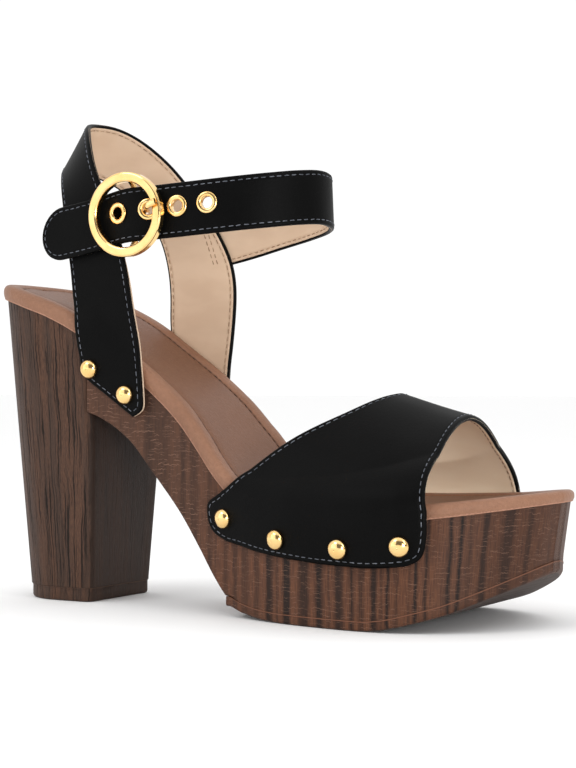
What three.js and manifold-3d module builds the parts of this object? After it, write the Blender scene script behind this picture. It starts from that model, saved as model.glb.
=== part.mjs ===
// A right platform shoe with an open toe, a heel sling and a buckled ankle strap.
// Millimetres. +X points to the toe, -Y to the outer side of the foot, +Z up.
// The origin is the middle of the heel's foot, on the floor.
import * as THREE from "three";
import { mergeVertices } from "three/addons/utils/BufferGeometryUtils.js";
import Module from "manifold-3d";

const wasm = await Module();
wasm.setup();

// Sole
const SOLE_LENGTH = 228;
const HEEL_SET = 31.6;
const BALL_WIDTH = 86;
const SEAT_RISE = 115;
const BALL_RISE = 36;
const TOE_SPRING = 21.3;
const TOE_LEAN = 2.8;
const OUTSOLE_THICK = 3.2;
const OUTSOLE_START = 82.5;
const SHANK_DEPTH = 36;
const EDGE_BREAK = 1.2;

// Insole
const RIM_THICK = 5;
const RIM_WIDTH = 6.5;
const RIM_ROUND = 1.3;
const RIM_OVER = 1.2;
const FOOTBED_DIP = 1;

// Heel
const TIP_THICK = 5;
const TIP_RADIUS = 20;
const BREAST_FOOT = 16.5;
const BREAST_BEND = 68;
const HEEL_CORNER = 3;

// Upper
const UPPER_WALL = 2;
const VAMP_LIFT = 4;
const VAMP_CROWN = 60;
const VAMP_DROP = 19;
const VAMP_TUCK = 2.1;
const ANKLE_REACH = 116;
const ANKLE_HALF = 28;
const SLING_DROP = 10.45;
const SLING_TALL = 101;
const STRAP_WIDTH = 19.4;

// Fastening
const BUCKLE_AT = 40.8;
const BUCKLE_WIDTH = 30.3;
const BUCKLE_RIM = 2.9;
const BUCKLE_DEPTH = 3.6;
const BUCKLE_BREAK = 0.7;
const BAR_RADIUS = 1.1;
const BAR_SINK = 2;
const PRONG_RADIUS = 0.85;
const PRONG_TIP = 3.6;
const TAB_THICK = 1.2;
const TAB_HEIGHT = 12;
const TAB_TAIL = 21;
const TAB_SINK = 5;
const TAB_SLANT = 0.12;
const EYELET_WIDTH = 7.8;
const EYELET_BORE = 4.6;
const EYELET_BARREL = 5.8;
const EYELET_LIP = 0.9;
const EYELET_PITCH = 11.3;
const EYELET_BACK = 3.8;
const EYELET_LIFT = 1.3;
const EYELET_COUNT = 4;

// Studs
const STUD_WIDTH = 7;
const STUD_RISE = 2.5;
const PIN_RADIUS = 0.8;
const PIN_DEPTH = 4;

// Below the insole the upper's foot draws in to the sole over this height.
const FOOT_FLARE = 13;

// What touches keeps this much air between the two faces.
const GAP = 0.3;
// Facets cut corners on hollow curves, so the upper stands this much further off the rim.
const FACET_SLACK = 0.4;

// Places along the sole, as shares of SOLE_LENGTH: the middle of the heel's top,
// the top of the heel's flat front, and the middle of the sling's foot.
const PLACES = { heelMiddle: 0.125, breast: 0.2263, slingFoot: 0.276 };

// Half widths of the insole's outline, from the seat's back to the toe.
// along: share of SOLE_LENGTH; outer and inner: shares of BALL_WIDTH.
const OUTLINE = [
  { along: 0.0, outer: 0.02, inner: 0.02 },
  { along: 0.011, outer: 0.138, inner: 0.134 },
  { along: 0.033, outer: 0.228, inner: 0.222 },
  { along: 0.068, outer: 0.295, inner: 0.286 },
  { along: 0.12, outer: 0.327, inner: 0.316 },
  { along: 0.225, outer: 0.325, inner: 0.308 },
  { along: 0.31, outer: 0.315, inner: 0.292 },
  { along: 0.4, outer: 0.32, inner: 0.291 },
  { along: 0.49, outer: 0.36, inner: 0.326 },
  { along: 0.58, outer: 0.426, inner: 0.396 },
  { along: 0.665, outer: 0.477, inner: 0.459 },
  { along: 0.745, outer: 0.5, inner: 0.488 },
  { along: 0.81, outer: 0.492, inner: 0.488 },
  { along: 0.87, outer: 0.445, inner: 0.452 },
  { along: 0.92, outer: 0.36, inner: 0.388 },
  { along: 0.96, outer: 0.243, inner: 0.295 },
  { along: 0.988, outer: 0.118, inner: 0.165 },
  { along: 1.0, outer: 0.02, inner: 0.05 },
];

// Underside of the insole, seen from the side.
// rise: share of the way from BALL_RISE up to SEAT_RISE.
const SEAT_LINE = [
  { along: 0.0, rise: 1.0 },
  { along: 0.055, rise: 0.975 },
  { along: 0.108, rise: 0.933 },
  { along: 0.145, rise: 0.897 },
  { along: 0.203, rise: 0.82 },
  { along: 0.27, rise: 0.7 },
  { along: 0.345, rise: 0.549 },
  { along: 0.397, rise: 0.422 },
  { along: 0.443, rise: 0.275 },
  { along: 0.472, rise: 0.178 },
  { along: 0.5, rise: 0.104 },
  { along: 0.525, rise: 0.058 },
  { along: 0.56, rise: 0.022 },
  { along: 0.62, rise: 0.003 },
  { along: 0.71, rise: 0.0 },
  { along: 0.8, rise: 0.009 },
  { along: 0.86, rise: 0.023 },
  { along: 0.9, rise: 0.037 },
  { along: 0.95, rise: 0.057 },
  { along: 1.0, rise: 0.078 },
];

// Ground face of the outsole. rise: share of TOE_SPRING.
const TREAD_LINE = [
  { along: 0.507, rise: 0.174 },
  { along: 0.535, rise: 0.087 },
  { along: 0.577, rise: 0.019 },
  { along: 0.615, rise: 0.0 },
  { along: 0.755, rise: 0.0 },
  { along: 0.785, rise: 0.03 },
  { along: 0.828, rise: 0.14 },
  { along: 0.875, rise: 0.29 },
  { along: 0.917, rise: 0.49 },
  { along: 0.956, rise: 0.705 },
  { along: 0.982, rise: 0.873 },
  { along: 1.0, rise: 1.0 },
];

// Depth of the shank below the insole. deep: share of SHANK_DEPTH.
const SHANK_LINE = [
  { along: 0.228, deep: 0.75 },
  { along: 0.25, deep: 0.71 },
  { along: 0.278, deep: 0.69 },
  { along: 0.303, deep: 0.7 },
  { along: 0.354, deep: 0.817 },
  { along: 0.404, deep: 0.905 },
  { along: 0.455, deep: 0.98 },
  { along: 0.504, deep: 1.05 },
];

// Thickness of the insole's rim. thick: share of RIM_THICK.
const RIM_LINE = [
  { along: 0.0, thick: 1.0 },
  { along: 0.78, thick: 0.95 },
  { along: 0.9, thick: 0.82 },
  { along: 1.0, thick: 0.7 },
];

// The vamp above the insole, from its foot up to the crown.
// across: share of the half width; up: share of the crown's height there;
// back, front and far: where the throat's edge and the toe's edge pass, on the
// outer side and on the inner one, as shares of SOLE_LENGTH.
const VAMP_ARCH = [
  { across: 1.0, up: 0.0, back: 0.472, front: 0.86, far: 0.85 },
  { across: 0.97, up: 0.1, back: 0.517, front: 0.858, far: 0.847 },
  { across: 0.9, up: 0.25, back: 0.567, front: 0.856, far: 0.845 },
  { across: 0.82, up: 0.4, back: 0.604, front: 0.854, far: 0.844 },
  { across: 0.735, up: 0.52, back: 0.632, front: 0.853, far: 0.844 },
  { across: 0.62, up: 0.65, back: 0.661, front: 0.852, far: 0.845 },
  { across: 0.475, up: 0.78, back: 0.688, front: 0.85, far: 0.846 },
  { across: 0.33, up: 0.885, back: 0.707, front: 0.849, far: 0.847 },
  { across: 0.17, up: 0.963, back: 0.721, front: 0.848, far: 0.848 },
  { across: 0.0, up: 1.0, back: 0.728, front: 0.848, far: 0.848 },
];

// The vamp's foot, over the side of the platform. drop: share of VAMP_DROP.
const VAMP_FOOT = [
  { drop: 1.0, back: 0.512, front: 0.832, far: 0.822 },
  { drop: 0.93, back: 0.491, front: 0.845, far: 0.835 },
  { drop: 0.8, back: 0.479, front: 0.854, far: 0.844 },
  { drop: 0.55, back: 0.471, front: 0.858, far: 0.848 },
  { drop: 0.33, back: 0.47, front: 0.86, far: 0.85 },
  { drop: 0.12, back: 0.471, front: 0.86, far: 0.85 },
];

// How deep the vamp's lower edge reaches along the platform.
const VAMP_HEM = [
  { along: 0.47, deep: 0.64 },
  { along: 0.515, deep: 0.7 },
  { along: 0.577, deep: 0.84 },
  { along: 0.65, deep: 0.93 },
  { along: 0.77, deep: 1.0 },
  { along: 0.86, deep: 0.9 },
];

// Height of the vamp's crown line. tall: share of VAMP_CROWN.
const VAMP_RIDGE = [
  { along: 0.47, tall: 1.0 },
  { along: 0.52, tall: 0.95 },
  { along: 0.568, tall: 0.883 },
  { along: 0.604, tall: 0.8 },
  { along: 0.645, tall: 0.717 },
  { along: 0.68, tall: 0.658 },
  { along: 0.735, tall: 0.595 },
  { along: 0.797, tall: 0.525 },
  { along: 0.86, tall: 0.462 },
];

// The middle of the sling's foot, as a share of ANKLE_REACH.
const FOOT_SHARE = 0.365;

// Edges of the sling, from its outer foot round the heel to its inner foot.
// fx and bx: shares of ANKLE_REACH; fy and by: of ANKLE_HALF; fz and bz: of
// SLING_TALL. f is the front edge, b the back one.
const SLING = [
  { fx: 0.452, fy: -0.8, fz: -0.105, bx: 0.285, by: -0.8, bz: 0.025 },
  { fx: 0.49, fy: -0.8, fz: -0.08, bx: 0.268, by: -0.8, bz: 0.05 },
  { fx: 0.496, fy: -0.8, fz: -0.02, bx: 0.26, by: -0.8, bz: 0.1 },
  { fx: 0.488, fy: -0.93, fz: 0.08, bx: 0.252, by: -0.93, bz: 0.155 },
  { fx: 0.465, fy: -0.98, fz: 0.23, bx: 0.242, by: -0.98, bz: 0.23 },
  { fx: 0.446, fy: -0.98, fz: 0.35, bx: 0.227, by: -0.97, bz: 0.33 },
  { fx: 0.424, fy: -0.975, fz: 0.465, bx: 0.212, by: -0.95, bz: 0.445 },
  { fx: 0.386, fy: -0.975, fz: 0.595, bx: 0.19, by: -0.93, bz: 0.555 },
  { fx: 0.338, fy: -0.96, fz: 0.72, bx: 0.172, by: -0.87, bz: 0.653 },
  { fx: 0.303, fy: -0.89, fz: 0.81, bx: 0.145, by: -0.75, bz: 0.721 },
  { fx: 0.271, fy: -0.74, fz: 0.89, bx: 0.113, by: -0.56, bz: 0.77 },
  { fx: 0.228, fy: -0.52, fz: 0.947, bx: 0.079, by: -0.35, bz: 0.798 },
  { fx: 0.182, fy: -0.26, fz: 0.98, bx: 0.056, by: -0.15, bz: 0.81 },
  { fx: 0.156, fy: 0.02, fz: 0.99, bx: 0.048, by: 0.05, bz: 0.812 },
  { fx: 0.176, fy: 0.29, fz: 0.985, bx: 0.056, by: 0.25, bz: 0.81 },
  { fx: 0.219, fy: 0.51, fz: 0.952, bx: 0.073, by: 0.45, bz: 0.8 },
  { fx: 0.272, fy: 0.68, fz: 0.895, bx: 0.11, by: 0.61, bz: 0.772 },
  { fx: 0.33, fy: 0.8, fz: 0.82, bx: 0.152, by: 0.73, bz: 0.726 },
  { fx: 0.395, fy: 0.88, fz: 0.718, bx: 0.196, by: 0.83, bz: 0.661 },
  { fx: 0.464, fy: 0.93, fz: 0.6, bx: 0.237, by: 0.9, bz: 0.58 },
  { fx: 0.517, fy: 0.945, fz: 0.48, bx: 0.263, by: 0.93, bz: 0.485 },
  { fx: 0.535, fy: 0.945, fz: 0.366, bx: 0.276, by: 0.94, bz: 0.376 },
  { fx: 0.53, fy: 0.935, fz: 0.228, bx: 0.276, by: 0.94, bz: 0.257 },
  { fx: 0.517, fy: 0.91, fz: 0.08, bx: 0.275, by: 0.93, bz: 0.145 },
  { fx: 0.509, fy: 0.8, fz: -0.02, bx: 0.277, by: 0.8, bz: 0.085 },
  { fx: 0.499, fy: 0.8, fz: -0.08, bx: 0.286, by: 0.8, bz: 0.04 },
  { fx: 0.468, fy: 0.8, fz: -0.105, bx: 0.304, by: 0.8, bz: 0.016 },
];

// Middle line of the ankle strap, from its free tip round the front of the
// ankle to its seam on the sling, in the sling's shares. lean: the top's
// lean towards the leg, as a share of the strap's width.
const STRAP = [
  { x: 0.12, y: -1.04, z: 0.545, lean: 0.0 },
  { x: 0.198, y: -1.06, z: 0.557, lean: 0.0 },
  { x: 0.267, y: -1.08, z: 0.568, lean: 0.0 },
  { x: 0.328, y: -1.09, z: 0.58, lean: 0.0 },
  { x: 0.405, y: -1.095, z: 0.597, lean: 0.0 },
  { x: 0.466, y: -1.09, z: 0.608, lean: 0.0 },
  { x: 0.526, y: -1.07, z: 0.613, lean: 0.0 },
  { x: 0.586, y: -1.035, z: 0.618, lean: 0.01 },
  { x: 0.64, y: -1.0, z: 0.622, lean: 0.02 },
  { x: 0.72, y: -0.94, z: 0.629, lean: 0.03 },
  { x: 0.819, y: -0.82, z: 0.639, lean: 0.04 },
  { x: 0.9, y: -0.62, z: 0.65, lean: 0.04 },
  { x: 0.955, y: -0.35, z: 0.661, lean: 0.04 },
  { x: 0.982, y: -0.036, z: 0.667, lean: 0.04 },
  { x: 0.972, y: 0.28, z: 0.66, lean: 0.04 },
  { x: 0.92, y: 0.57, z: 0.649, lean: 0.04 },
  { x: 0.828, y: 0.78, z: 0.632, lean: 0.03 },
  { x: 0.718, y: 0.91, z: 0.61, lean: 0.02 },
  { x: 0.608, y: 0.985, z: 0.584, lean: 0.01 },
  { x: 0.52, y: 1.005, z: 0.564, lean: 0.0 },
  { x: 0.42, y: 1.0, z: 0.547, lean: 0.0 },
];

// Where the vamp's studs sit along each side. along: share of SOLE_LENGTH;
// rise: share of the height of the vamp's base.
const VAMP_STUDS = [
  { along: 0.509, rise: 0.87 },
  { along: 0.619, rise: 0.727 },
  { along: 0.73, rise: 0.683 },
  { along: 0.823, rise: 0.725 },
];

// Where the sling's studs sit, in the sling's shares.
const SLING_STUDS = [
  { reach: 0.298, tall: 0.0676 },
  { reach: 0.4317, tall: -0.0246 },
];

// The prong's pin, from the bar through the second eyelet to the ring.
// reach: 1 at the second eyelet and 2 at the rim's middle; aside: share of
// the way from the eyelets' line to PRONG_TIP; rise: share of the way from
// the bar up to where the tip rests.
const PRONG_LINE = [
  { reach: 0.68, aside: 0.0, rise: 0.053 },
  { reach: 0.9, aside: 0.0, rise: 0.286 },
  { reach: 1.048, aside: 0.087, rise: 0.487 },
  { reach: 1.218, aside: 0.26, rise: 0.709 },
  { reach: 1.544, aside: 0.61, rise: 0.979 },
  { reach: 1.92, aside: 1.0, rise: 1.0 },
  { reach: 2.08, aside: 1.13, rise: 1.0 },
];

const SIDES = ["outer", "inner"];

function sideSign(side) {
  return side === "outer" ? -1 : 1;
}

function alongX(share) {
  return share * SOLE_LENGTH - HEEL_SET;
}

const BREAST_TOP = alongX(PLACES.breast);
const VAMP_BASE = BALL_RISE + VAMP_LIFT;

// A smooth curve through one column of a table, with no overshoot.
function curve(table, column) {
  const xs = table.map((row) => row.along);
  const ys = table.map((row) => row[column]);
  const last = xs.length - 1;
  const chord = (i) => (ys[i + 1] - ys[i]) / (xs[i + 1] - xs[i]);
  const slopes = xs.map((_, i) => {
    if (i === 0) return chord(0);
    if (i === last) return chord(last - 1);
    const before = chord(i - 1);
    const after = chord(i);
    return before * after <= 0 ? 0 : (2 * before * after) / (before + after);
  });
  return (x) => {
    const share = THREE.MathUtils.clamp((x + HEEL_SET) / SOLE_LENGTH, xs[0], xs[last]);
    let i = 0;
    while (i < last - 1 && share > xs[i + 1]) i += 1;
    const span = xs[i + 1] - xs[i];
    const t = (share - xs[i]) / span;
    const rest = 1 - t;
    const ends = ys[i] * rest * rest * (1 + 2 * t) + ys[i + 1] * t * t * (1 + 2 * rest);
    return ends + span * t * rest * (slopes[i] * rest - slopes[i + 1] * t);
  };
}

const outerShare = curve(OUTLINE, "outer");
const innerShare = curve(OUTLINE, "inner");
const seatShare = curve(SEAT_LINE, "rise");
const treadShare = curve(TREAD_LINE, "rise");
const shankShare = curve(SHANK_LINE, "deep");
const rimShare = curve(RIM_LINE, "thick");
const hemShare = curve(VAMP_HEM, "deep");
const ridgeShare = curve(VAMP_RIDGE, "tall");

// Half width of the insole on one side.
function halfWidth(side, x) {
  return BALL_WIDTH * (side === "outer" ? outerShare(x) : innerShare(x));
}

// Half width of the platform, the shank and the heel's top.
function bodyWidth(side, x) {
  return halfWidth(side, x) - RIM_OVER;
}

function seatZ(x) {
  return BALL_RISE + (SEAT_RISE - BALL_RISE) * seatShare(x);
}

// A thickness square to the insole, measured upright.
function upright(x, thickness) {
  const slope = (seatZ(x + 1) - seatZ(x - 1)) / 2;
  return thickness * Math.hypot(1, slope);
}

const SLING_BACK = alongX(PLACES.slingFoot) - ANKLE_REACH * FOOT_SHARE;
const SLING_FOOT = seatZ(alongX(PLACES.slingFoot)) - SLING_DROP;

function treadZ(x) {
  return TOE_SPRING * treadShare(x);
}

function outsoleTopZ(x) {
  return treadZ(x) + OUTSOLE_THICK;
}

// Underside of the platform and, behind OUTSOLE_START, of the shank.
function bodyUnderZ(x) {
  const tread = outsoleTopZ(x) + GAP;
  if (x >= OUTSOLE_START) return tread;
  return Math.max(tread, seatZ(x) - SHANK_DEPTH * shankShare(x));
}

// One closed body from corner points and faces, turned to face outward.
function solid(points, faces) {
  let volume = 0;
  const a = new THREE.Vector3();
  for (const [i, j, k] of faces) {
    a.crossVectors(points[i], points[j]);
    volume += a.dot(points[k]);
  }
  const turned = volume < 0 ? faces.map(([i, j, k]) => [i, k, j]) : faces;
  const geometry = new THREE.BufferGeometry();
  const places = points.flatMap((p) => [p.x, p.y, p.z]);
  geometry.setAttribute("position", new THREE.Float32BufferAttribute(places, 3));
  geometry.setIndex(turned.flat());
  return geometry;
}

function quad(faces, a, b, c, d) {
  faces.push([a, b, c], [a, c, d]);
}

// A body through rings of equal count. Each end is closed by strips between
// the points that stand opposite each other in the ring.
function loft(rings) {
  const count = rings[0].length;
  const faces = [];
  for (let s = 0; s + 1 < rings.length; s += 1) {
    for (let r = 0; r < count; r += 1) {
      const next = (r + 1) % count;
      const base = s * count;
      quad(faces, base + r, base + count + r, base + count + next, base + next);
    }
  }
  const end = (rings.length - 1) * count;
  for (let r = 0; r < count / 2 - 1; r += 1) {
    const mate = count - 1 - r;
    quad(faces, r, r + 1, mate - 1, mate);
    quad(faces, end + mate, end + mate - 1, end + r + 1, end + r);
  }
  return solid(rings.flat(), faces);
}

// A leather wall of even thickness on a grid of inner points.
function sheet(grid, wall, centre) {
  const rows = grid.length;
  const columns = grid[0].length;
  const normalAt = (i, j) => {
    const alongStep = grid[Math.min(i + 1, rows - 1)][j].clone();
    alongStep.sub(grid[Math.max(i - 1, 0)][j]);
    const acrossStep = grid[i][Math.min(j + 1, columns - 1)].clone();
    acrossStep.sub(grid[i][Math.max(j - 1, 0)]);
    const normal = alongStep.cross(acrossStep).normalize();
    const outward = grid[i][j].clone().sub(centre(grid[i][j]));
    return normal.dot(outward) < 0 ? normal.negate() : normal;
  };
  const stepOut = (p, i, j) => p.clone().addScaledVector(normalAt(i, j), wall);
  const outer = grid.map((row, i) => row.map((p, j) => stepOut(p, i, j)));
  const points = [...grid.flat(), ...outer.flat()];
  const half = rows * columns;
  const at = (i, j) => i * columns + j;
  const faces = [];
  for (let i = 0; i + 1 < rows; i += 1) {
    for (let j = 0; j + 1 < columns; j += 1) {
      quad(faces, at(i, j), at(i + 1, j), at(i + 1, j + 1), at(i, j + 1));
      quad(faces, half + at(i, j + 1), half + at(i + 1, j + 1), half + at(i + 1, j), half + at(i, j));
    }
    quad(faces, at(i + 1, 0), at(i, 0), half + at(i, 0), half + at(i + 1, 0));
    const edge = columns - 1;
    quad(faces, at(i, edge), at(i + 1, edge), half + at(i + 1, edge), half + at(i, edge));
  }
  for (let j = 0; j + 1 < columns; j += 1) {
    quad(faces, at(0, j), at(0, j + 1), half + at(0, j + 1), half + at(0, j));
    const edge = rows - 1;
    quad(faces, at(edge, j + 1), at(edge, j), half + at(edge, j), half + at(edge, j + 1));
  }
  return solid(points, faces);
}

function toManifold(geometry) {
  const bare = geometry.clone();
  bare.deleteAttribute("normal");
  bare.deleteAttribute("uv");
  const merged = mergeVertices(bare, 1e-4);
  const vertProperties = new Float32Array(merged.attributes.position.array);
  const triVerts = new Uint32Array(merged.index.array);
  return new wasm.Manifold(new wasm.Mesh({ numProp: 3, vertProperties, triVerts }));
}

function fromManifold(body) {
  const mesh = body.getMesh();
  const geometry = new THREE.BufferGeometry();
  geometry.setAttribute("position", new THREE.Float32BufferAttribute(mesh.vertProperties, 3));
  geometry.setIndex(new THREE.Uint32BufferAttribute(mesh.triVerts, 1));
  return geometry;
}

function join(...parts) {
  return fromManifold(parts.map(toManifold).reduce((sum, part) => sum.add(part)));
}

function cut(body, tools) {
  const left = tools.map(toManifold).reduce((rest, tool) => rest.subtract(tool), toManifold(body));
  return fromManifold(left);
}

// Outline points of one side with the inward direction at each, from x = start.
function sidePoints(side, start) {
  const sign = sideSign(side);
  const route = new THREE.CatmullRomCurve3(
    OUTLINE.map((row) => new THREE.Vector3(alongX(row.along), sign * BALL_WIDTH * row[side], 0)),
  );
  const steps = 2 * (OUTLINE.length - 1);
  const points = Array.from({ length: steps + 1 }, (_, i) => route.getPoint(i / steps));
  for (const p of points) {
    if (p.x > alongX(0.06) && p.x < alongX(0.93)) p.y = sign * halfWidth(side, p.x);
  }
  const kept = points.filter((p) => p.x > start + 1);
  if (kept.length < points.length) kept.unshift(new THREE.Vector3(start, sign * halfWidth(side, start), 0));
  return kept;
}

function inwardAt(points, i, sign) {
  const before = points[Math.max(i - 1, 0)];
  const after = points[Math.min(i + 1, points.length - 1)];
  return new THREE.Vector3(after.y - before.y, before.x - after.x, 0).normalize().multiplyScalar(sign);
}

// Rings across the sole from x = start to the toe. layers run from the
// lowest edge to the middle of the top: inset is the way in from the
// insole's outline, and z the height over x.
function acrossRings(start, squareStart, layers) {
  const halves = SIDES.map((side) => {
    const points = sidePoints(side, start);
    return points.map((p, i) => {
      const inward = inwardAt(points, i, sideSign(side));
      if (i === 0) inward.set(squareStart ? 0 : 1, squareStart ? -sideSign(side) : 0, 0);
      if (i === points.length - 1) inward.set(-1, 0, 0);
      return layers.map(({ inset, z, lean }) => {
        const x = p.x + inward.x * inset - leanBack(p.x) * lean;
        return new THREE.Vector3(x, p.y + inward.y * inset, z(x));
      });
    });
  });
  return halves[0].map((column, i) => [...column, ...halves[1][i].slice().reverse()]);
}

// The toe's side slopes back towards the floor.
function leanBack(x) {
  const share = THREE.MathUtils.smoothstep(x, alongX(0.7), alongX(1));
  return TOE_LEAN * share;
}

function makePlatform() {
  const topZ = (x) => seatZ(x) - upright(x, GAP);
  const layers = [
    { inset: RIM_OVER + EDGE_BREAK, z: bodyUnderZ, lean: 1 },
    { inset: RIM_OVER, z: (x) => bodyUnderZ(x) + EDGE_BREAK, lean: 1 },
    { inset: RIM_OVER, z: (x) => (topZ(x) + bodyUnderZ(x)) / 2, lean: 0.5 },
    { inset: RIM_OVER, z: topZ, lean: 0 },
  ];
  const body = loft(acrossRings(BREAST_TOP + GAP, true, layers));
  return cut(body, allStuds().map((stud) => placeStud(pinTool(), stud)));
}

function makeOutsole() {
  const layers = [
    { inset: RIM_OVER + EDGE_BREAK, z: treadZ, lean: 1 },
    { inset: RIM_OVER, z: (x) => treadZ(x) + EDGE_BREAK, lean: 1 },
    { inset: RIM_OVER, z: outsoleTopZ, lean: 1 },
  ];
  return loft(acrossRings(OUTSOLE_START, true, layers));
}

function makeInsole() {
  const baseZ = (x) => seatZ(x) + upright(x, GAP / 2);
  const riseZ = (rise) => (x) => baseZ(x) + upright(x, rise * rimShare(x));
  const layers = [
    { inset: RIM_ROUND, z: baseZ, lean: 0 },
    { inset: 0, z: riseZ(RIM_ROUND), lean: 0 },
    { inset: 0, z: riseZ(RIM_THICK - RIM_ROUND), lean: 0 },
    { inset: RIM_ROUND, z: riseZ(RIM_THICK), lean: 0 },
    { inset: RIM_WIDTH, z: riseZ(RIM_THICK), lean: 0 },
    { inset: RIM_WIDTH + RIM_ROUND, z: riseZ(RIM_THICK - FOOTBED_DIP), lean: 0 },
  ];
  return loft(acrossRings(alongX(0), false, layers));
}

// Half of the heel's D, from the back to the middle of its flat front.
function heelHalf(side, share, breastX) {
  const sign = sideSign(side);
  const topCentre = alongX(PLACES.heelMiddle);
  const topBack = topCentre - alongX(0) - RIM_OVER;
  const centre = THREE.MathUtils.lerp(0, topCentre, share);
  const back = THREE.MathUtils.lerp(TIP_RADIUS, topBack, share);
  const flank = THREE.MathUtils.lerp(TIP_RADIUS, bodyWidth(side, topCentre), share);
  const front = THREE.MathUtils.lerp(TIP_RADIUS, bodyWidth(side, BREAST_TOP), share);
  const steps = 8;
  const corner = HEEL_CORNER * (1 - Math.SQRT1_2);
  const bow = Array.from({ length: steps }, (_, i) => {
    const angle = ((i + 0.35) / (steps - 0.65)) * (Math.PI / 2);
    return [centre - back * Math.cos(angle), sign * flank * Math.sin(angle)];
  });
  return [
    ...bow,
    [(centre + breastX) / 2, (sign * (flank + front)) / 2],
    [breastX - HEEL_CORNER, sign * front],
    [breastX - corner, sign * (front - corner)],
    [breastX, sign * (front - HEEL_CORNER)],
  ];
}

function heelRing(share, breastX, z) {
  const outer = heelHalf("outer", share, breastX);
  const inner = heelHalf("inner", share, breastX).reverse();
  return [...outer, ...inner].map(([x, y]) => new THREE.Vector3(x, y, z(x)));
}

function breastAt(z) {
  const share = THREE.MathUtils.clamp(z / BREAST_BEND, 0, 1);
  return THREE.MathUtils.lerp(BREAST_FOOT, BREAST_TOP, share);
}

function makeHeel() {
  const floor = TIP_THICK + GAP;
  const topZ = (x) => seatZ(x) - upright(x, GAP);
  const levels = [0, 0.14, 0.3, 0.46, 0.62, 0.76, 0.88];
  const rings = levels.map((level) => {
    const z = THREE.MathUtils.lerp(floor, SEAT_RISE, level);
    return heelRing(z / SEAT_RISE, breastAt(z), (x) => Math.min(z, topZ(x) - (1 - level) * GAP));
  });
  rings.push(heelRing(1, BREAST_TOP, topZ));
  return loft(rings);
}

function makeHeelTip() {
  const ring = (inset, z) => heelRing(0, BREAST_FOOT, () => z).map((p) => {
    const reach = Math.hypot(p.x, p.y);
    return new THREE.Vector3(p.x * (1 - inset / reach), p.y * (1 - inset / reach), z);
  });
  return loft([ring(EDGE_BREAK, 0), ring(0, EDGE_BREAK), ring(0, TIP_THICK)]);
}

// How far out the upper's inner face stands where it covers the sole.
function hugWidth(side, x, z) {
  const below = seatZ(x) - RIM_ROUND - z;
  const share = THREE.MathUtils.clamp(1 - below / FOOT_FLARE, 0, 1);
  return bodyWidth(side, x) + (RIM_OVER + FACET_SLACK) * share + GAP;
}

// Moves a point of the upper's inner face out of the sole and the insole.
function clearSole(p, side) {
  const rimTop = seatZ(p.x) + upright(p.x, RIM_THICK + UPPER_WALL);
  if (p.z > rimTop) return p;
  p.y = sideSign(side) * Math.max(Math.abs(p.y), hugWidth(side, p.x, p.z));
  return p;
}

function edgeCurve(rows, column) {
  return new THREE.CatmullRomCurve3(rows.map((row, i) => new THREE.Vector3(row[column], i, 0)));
}

// Rows of the vamp's grid, from the outer hem over the crown to the inner hem.
function vampRows(side) {
  const sign = sideSign(side);
  const columns = 10;
  const footRows = VAMP_FOOT.map((row) => (x) => {
    const hem = VAMP_DROP * hemShare(x);
    const z = VAMP_BASE - hem * row.drop;
    return new THREE.Vector3(x, sign * hugWidth(side, x, z), z);
  });
  const steps = 2 * (VAMP_ARCH.length - 1);
  const frontColumn = side === "outer" ? "front" : "far";
  const arch = ["across", "up", "back", frontColumn].map((column) => edgeCurve(VAMP_ARCH, column));
  const archAt = Array.from({ length: steps + 1 }, (_, i) => {
    return arch.map((line) => line.getPoint(i / steps).x);
  });
  const archRows = archAt.map(([across, up]) => (x) => {
    const width = halfWidth(side, x) + GAP - (side === "inner" ? VAMP_TUCK : 0);
    const z = VAMP_BASE + VAMP_CROWN * ridgeShare(x) * up;
    return clearSole(new THREE.Vector3(x, sign * width * across, z), side);
  });
  const spans = [
    ...VAMP_FOOT.map((row) => [row.back, row[frontColumn]]),
    ...archAt.map(([, , back, front]) => [back, front]),
  ];
  return [...footRows, ...archRows].map((pointAt, i) => {
    const [back, front] = spans[i].map(alongX);
    return Array.from({ length: columns + 1 }, (_, j) => {
      return pointAt(THREE.MathUtils.lerp(back, front, j / columns));
    });
  });
}

function makeVamp() {
  const outer = vampRows("outer");
  const inner = vampRows("inner").slice(0, -1).reverse();
  const wall = sheet([...outer, ...inner], UPPER_WALL, (p) => new THREE.Vector3(p.x, 0, VAMP_BASE));
  return cut(wall, studRows("vamp").map((stud) => placeStud(pinTool(), stud)));
}

function anklePoint(x, y, z) {
  return new THREE.Vector3(
    SLING_BACK + ANKLE_REACH * x,
    ANKLE_HALF * y,
    SLING_FOOT + SLING_TALL * z,
  );
}

function slingGrid() {
  const edge = (points) => new THREE.CatmullRomCurve3(points, false, "catmullrom");
  const front = edge(SLING.map((row) => anklePoint(row.fx, row.fy, row.fz)));
  const back = edge(SLING.map((row) => anklePoint(row.bx, row.by, row.bz)));
  const rows = 2 * (SLING.length - 1);
  const columns = 4;
  return Array.from({ length: rows + 1 }, (_, i) => {
    const a = front.getPoint(i / rows);
    const b = back.getPoint(i / rows);
    const side = a.y < 0 ? "outer" : "inner";
    return Array.from({ length: columns + 1 }, (_, j) => {
      return clearSole(a.clone().lerp(b, j / columns), side);
    });
  });
}

const strapRoute = new THREE.CatmullRomCurve3(STRAP.map((row) => anklePoint(row.x, row.y, row.z)));
const strapLean = new THREE.CatmullRomCurve3(STRAP.map((row, i) => new THREE.Vector3(row.lean, i, 0)));
const STRAP_LENGTH = strapRoute.getLength();

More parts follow.
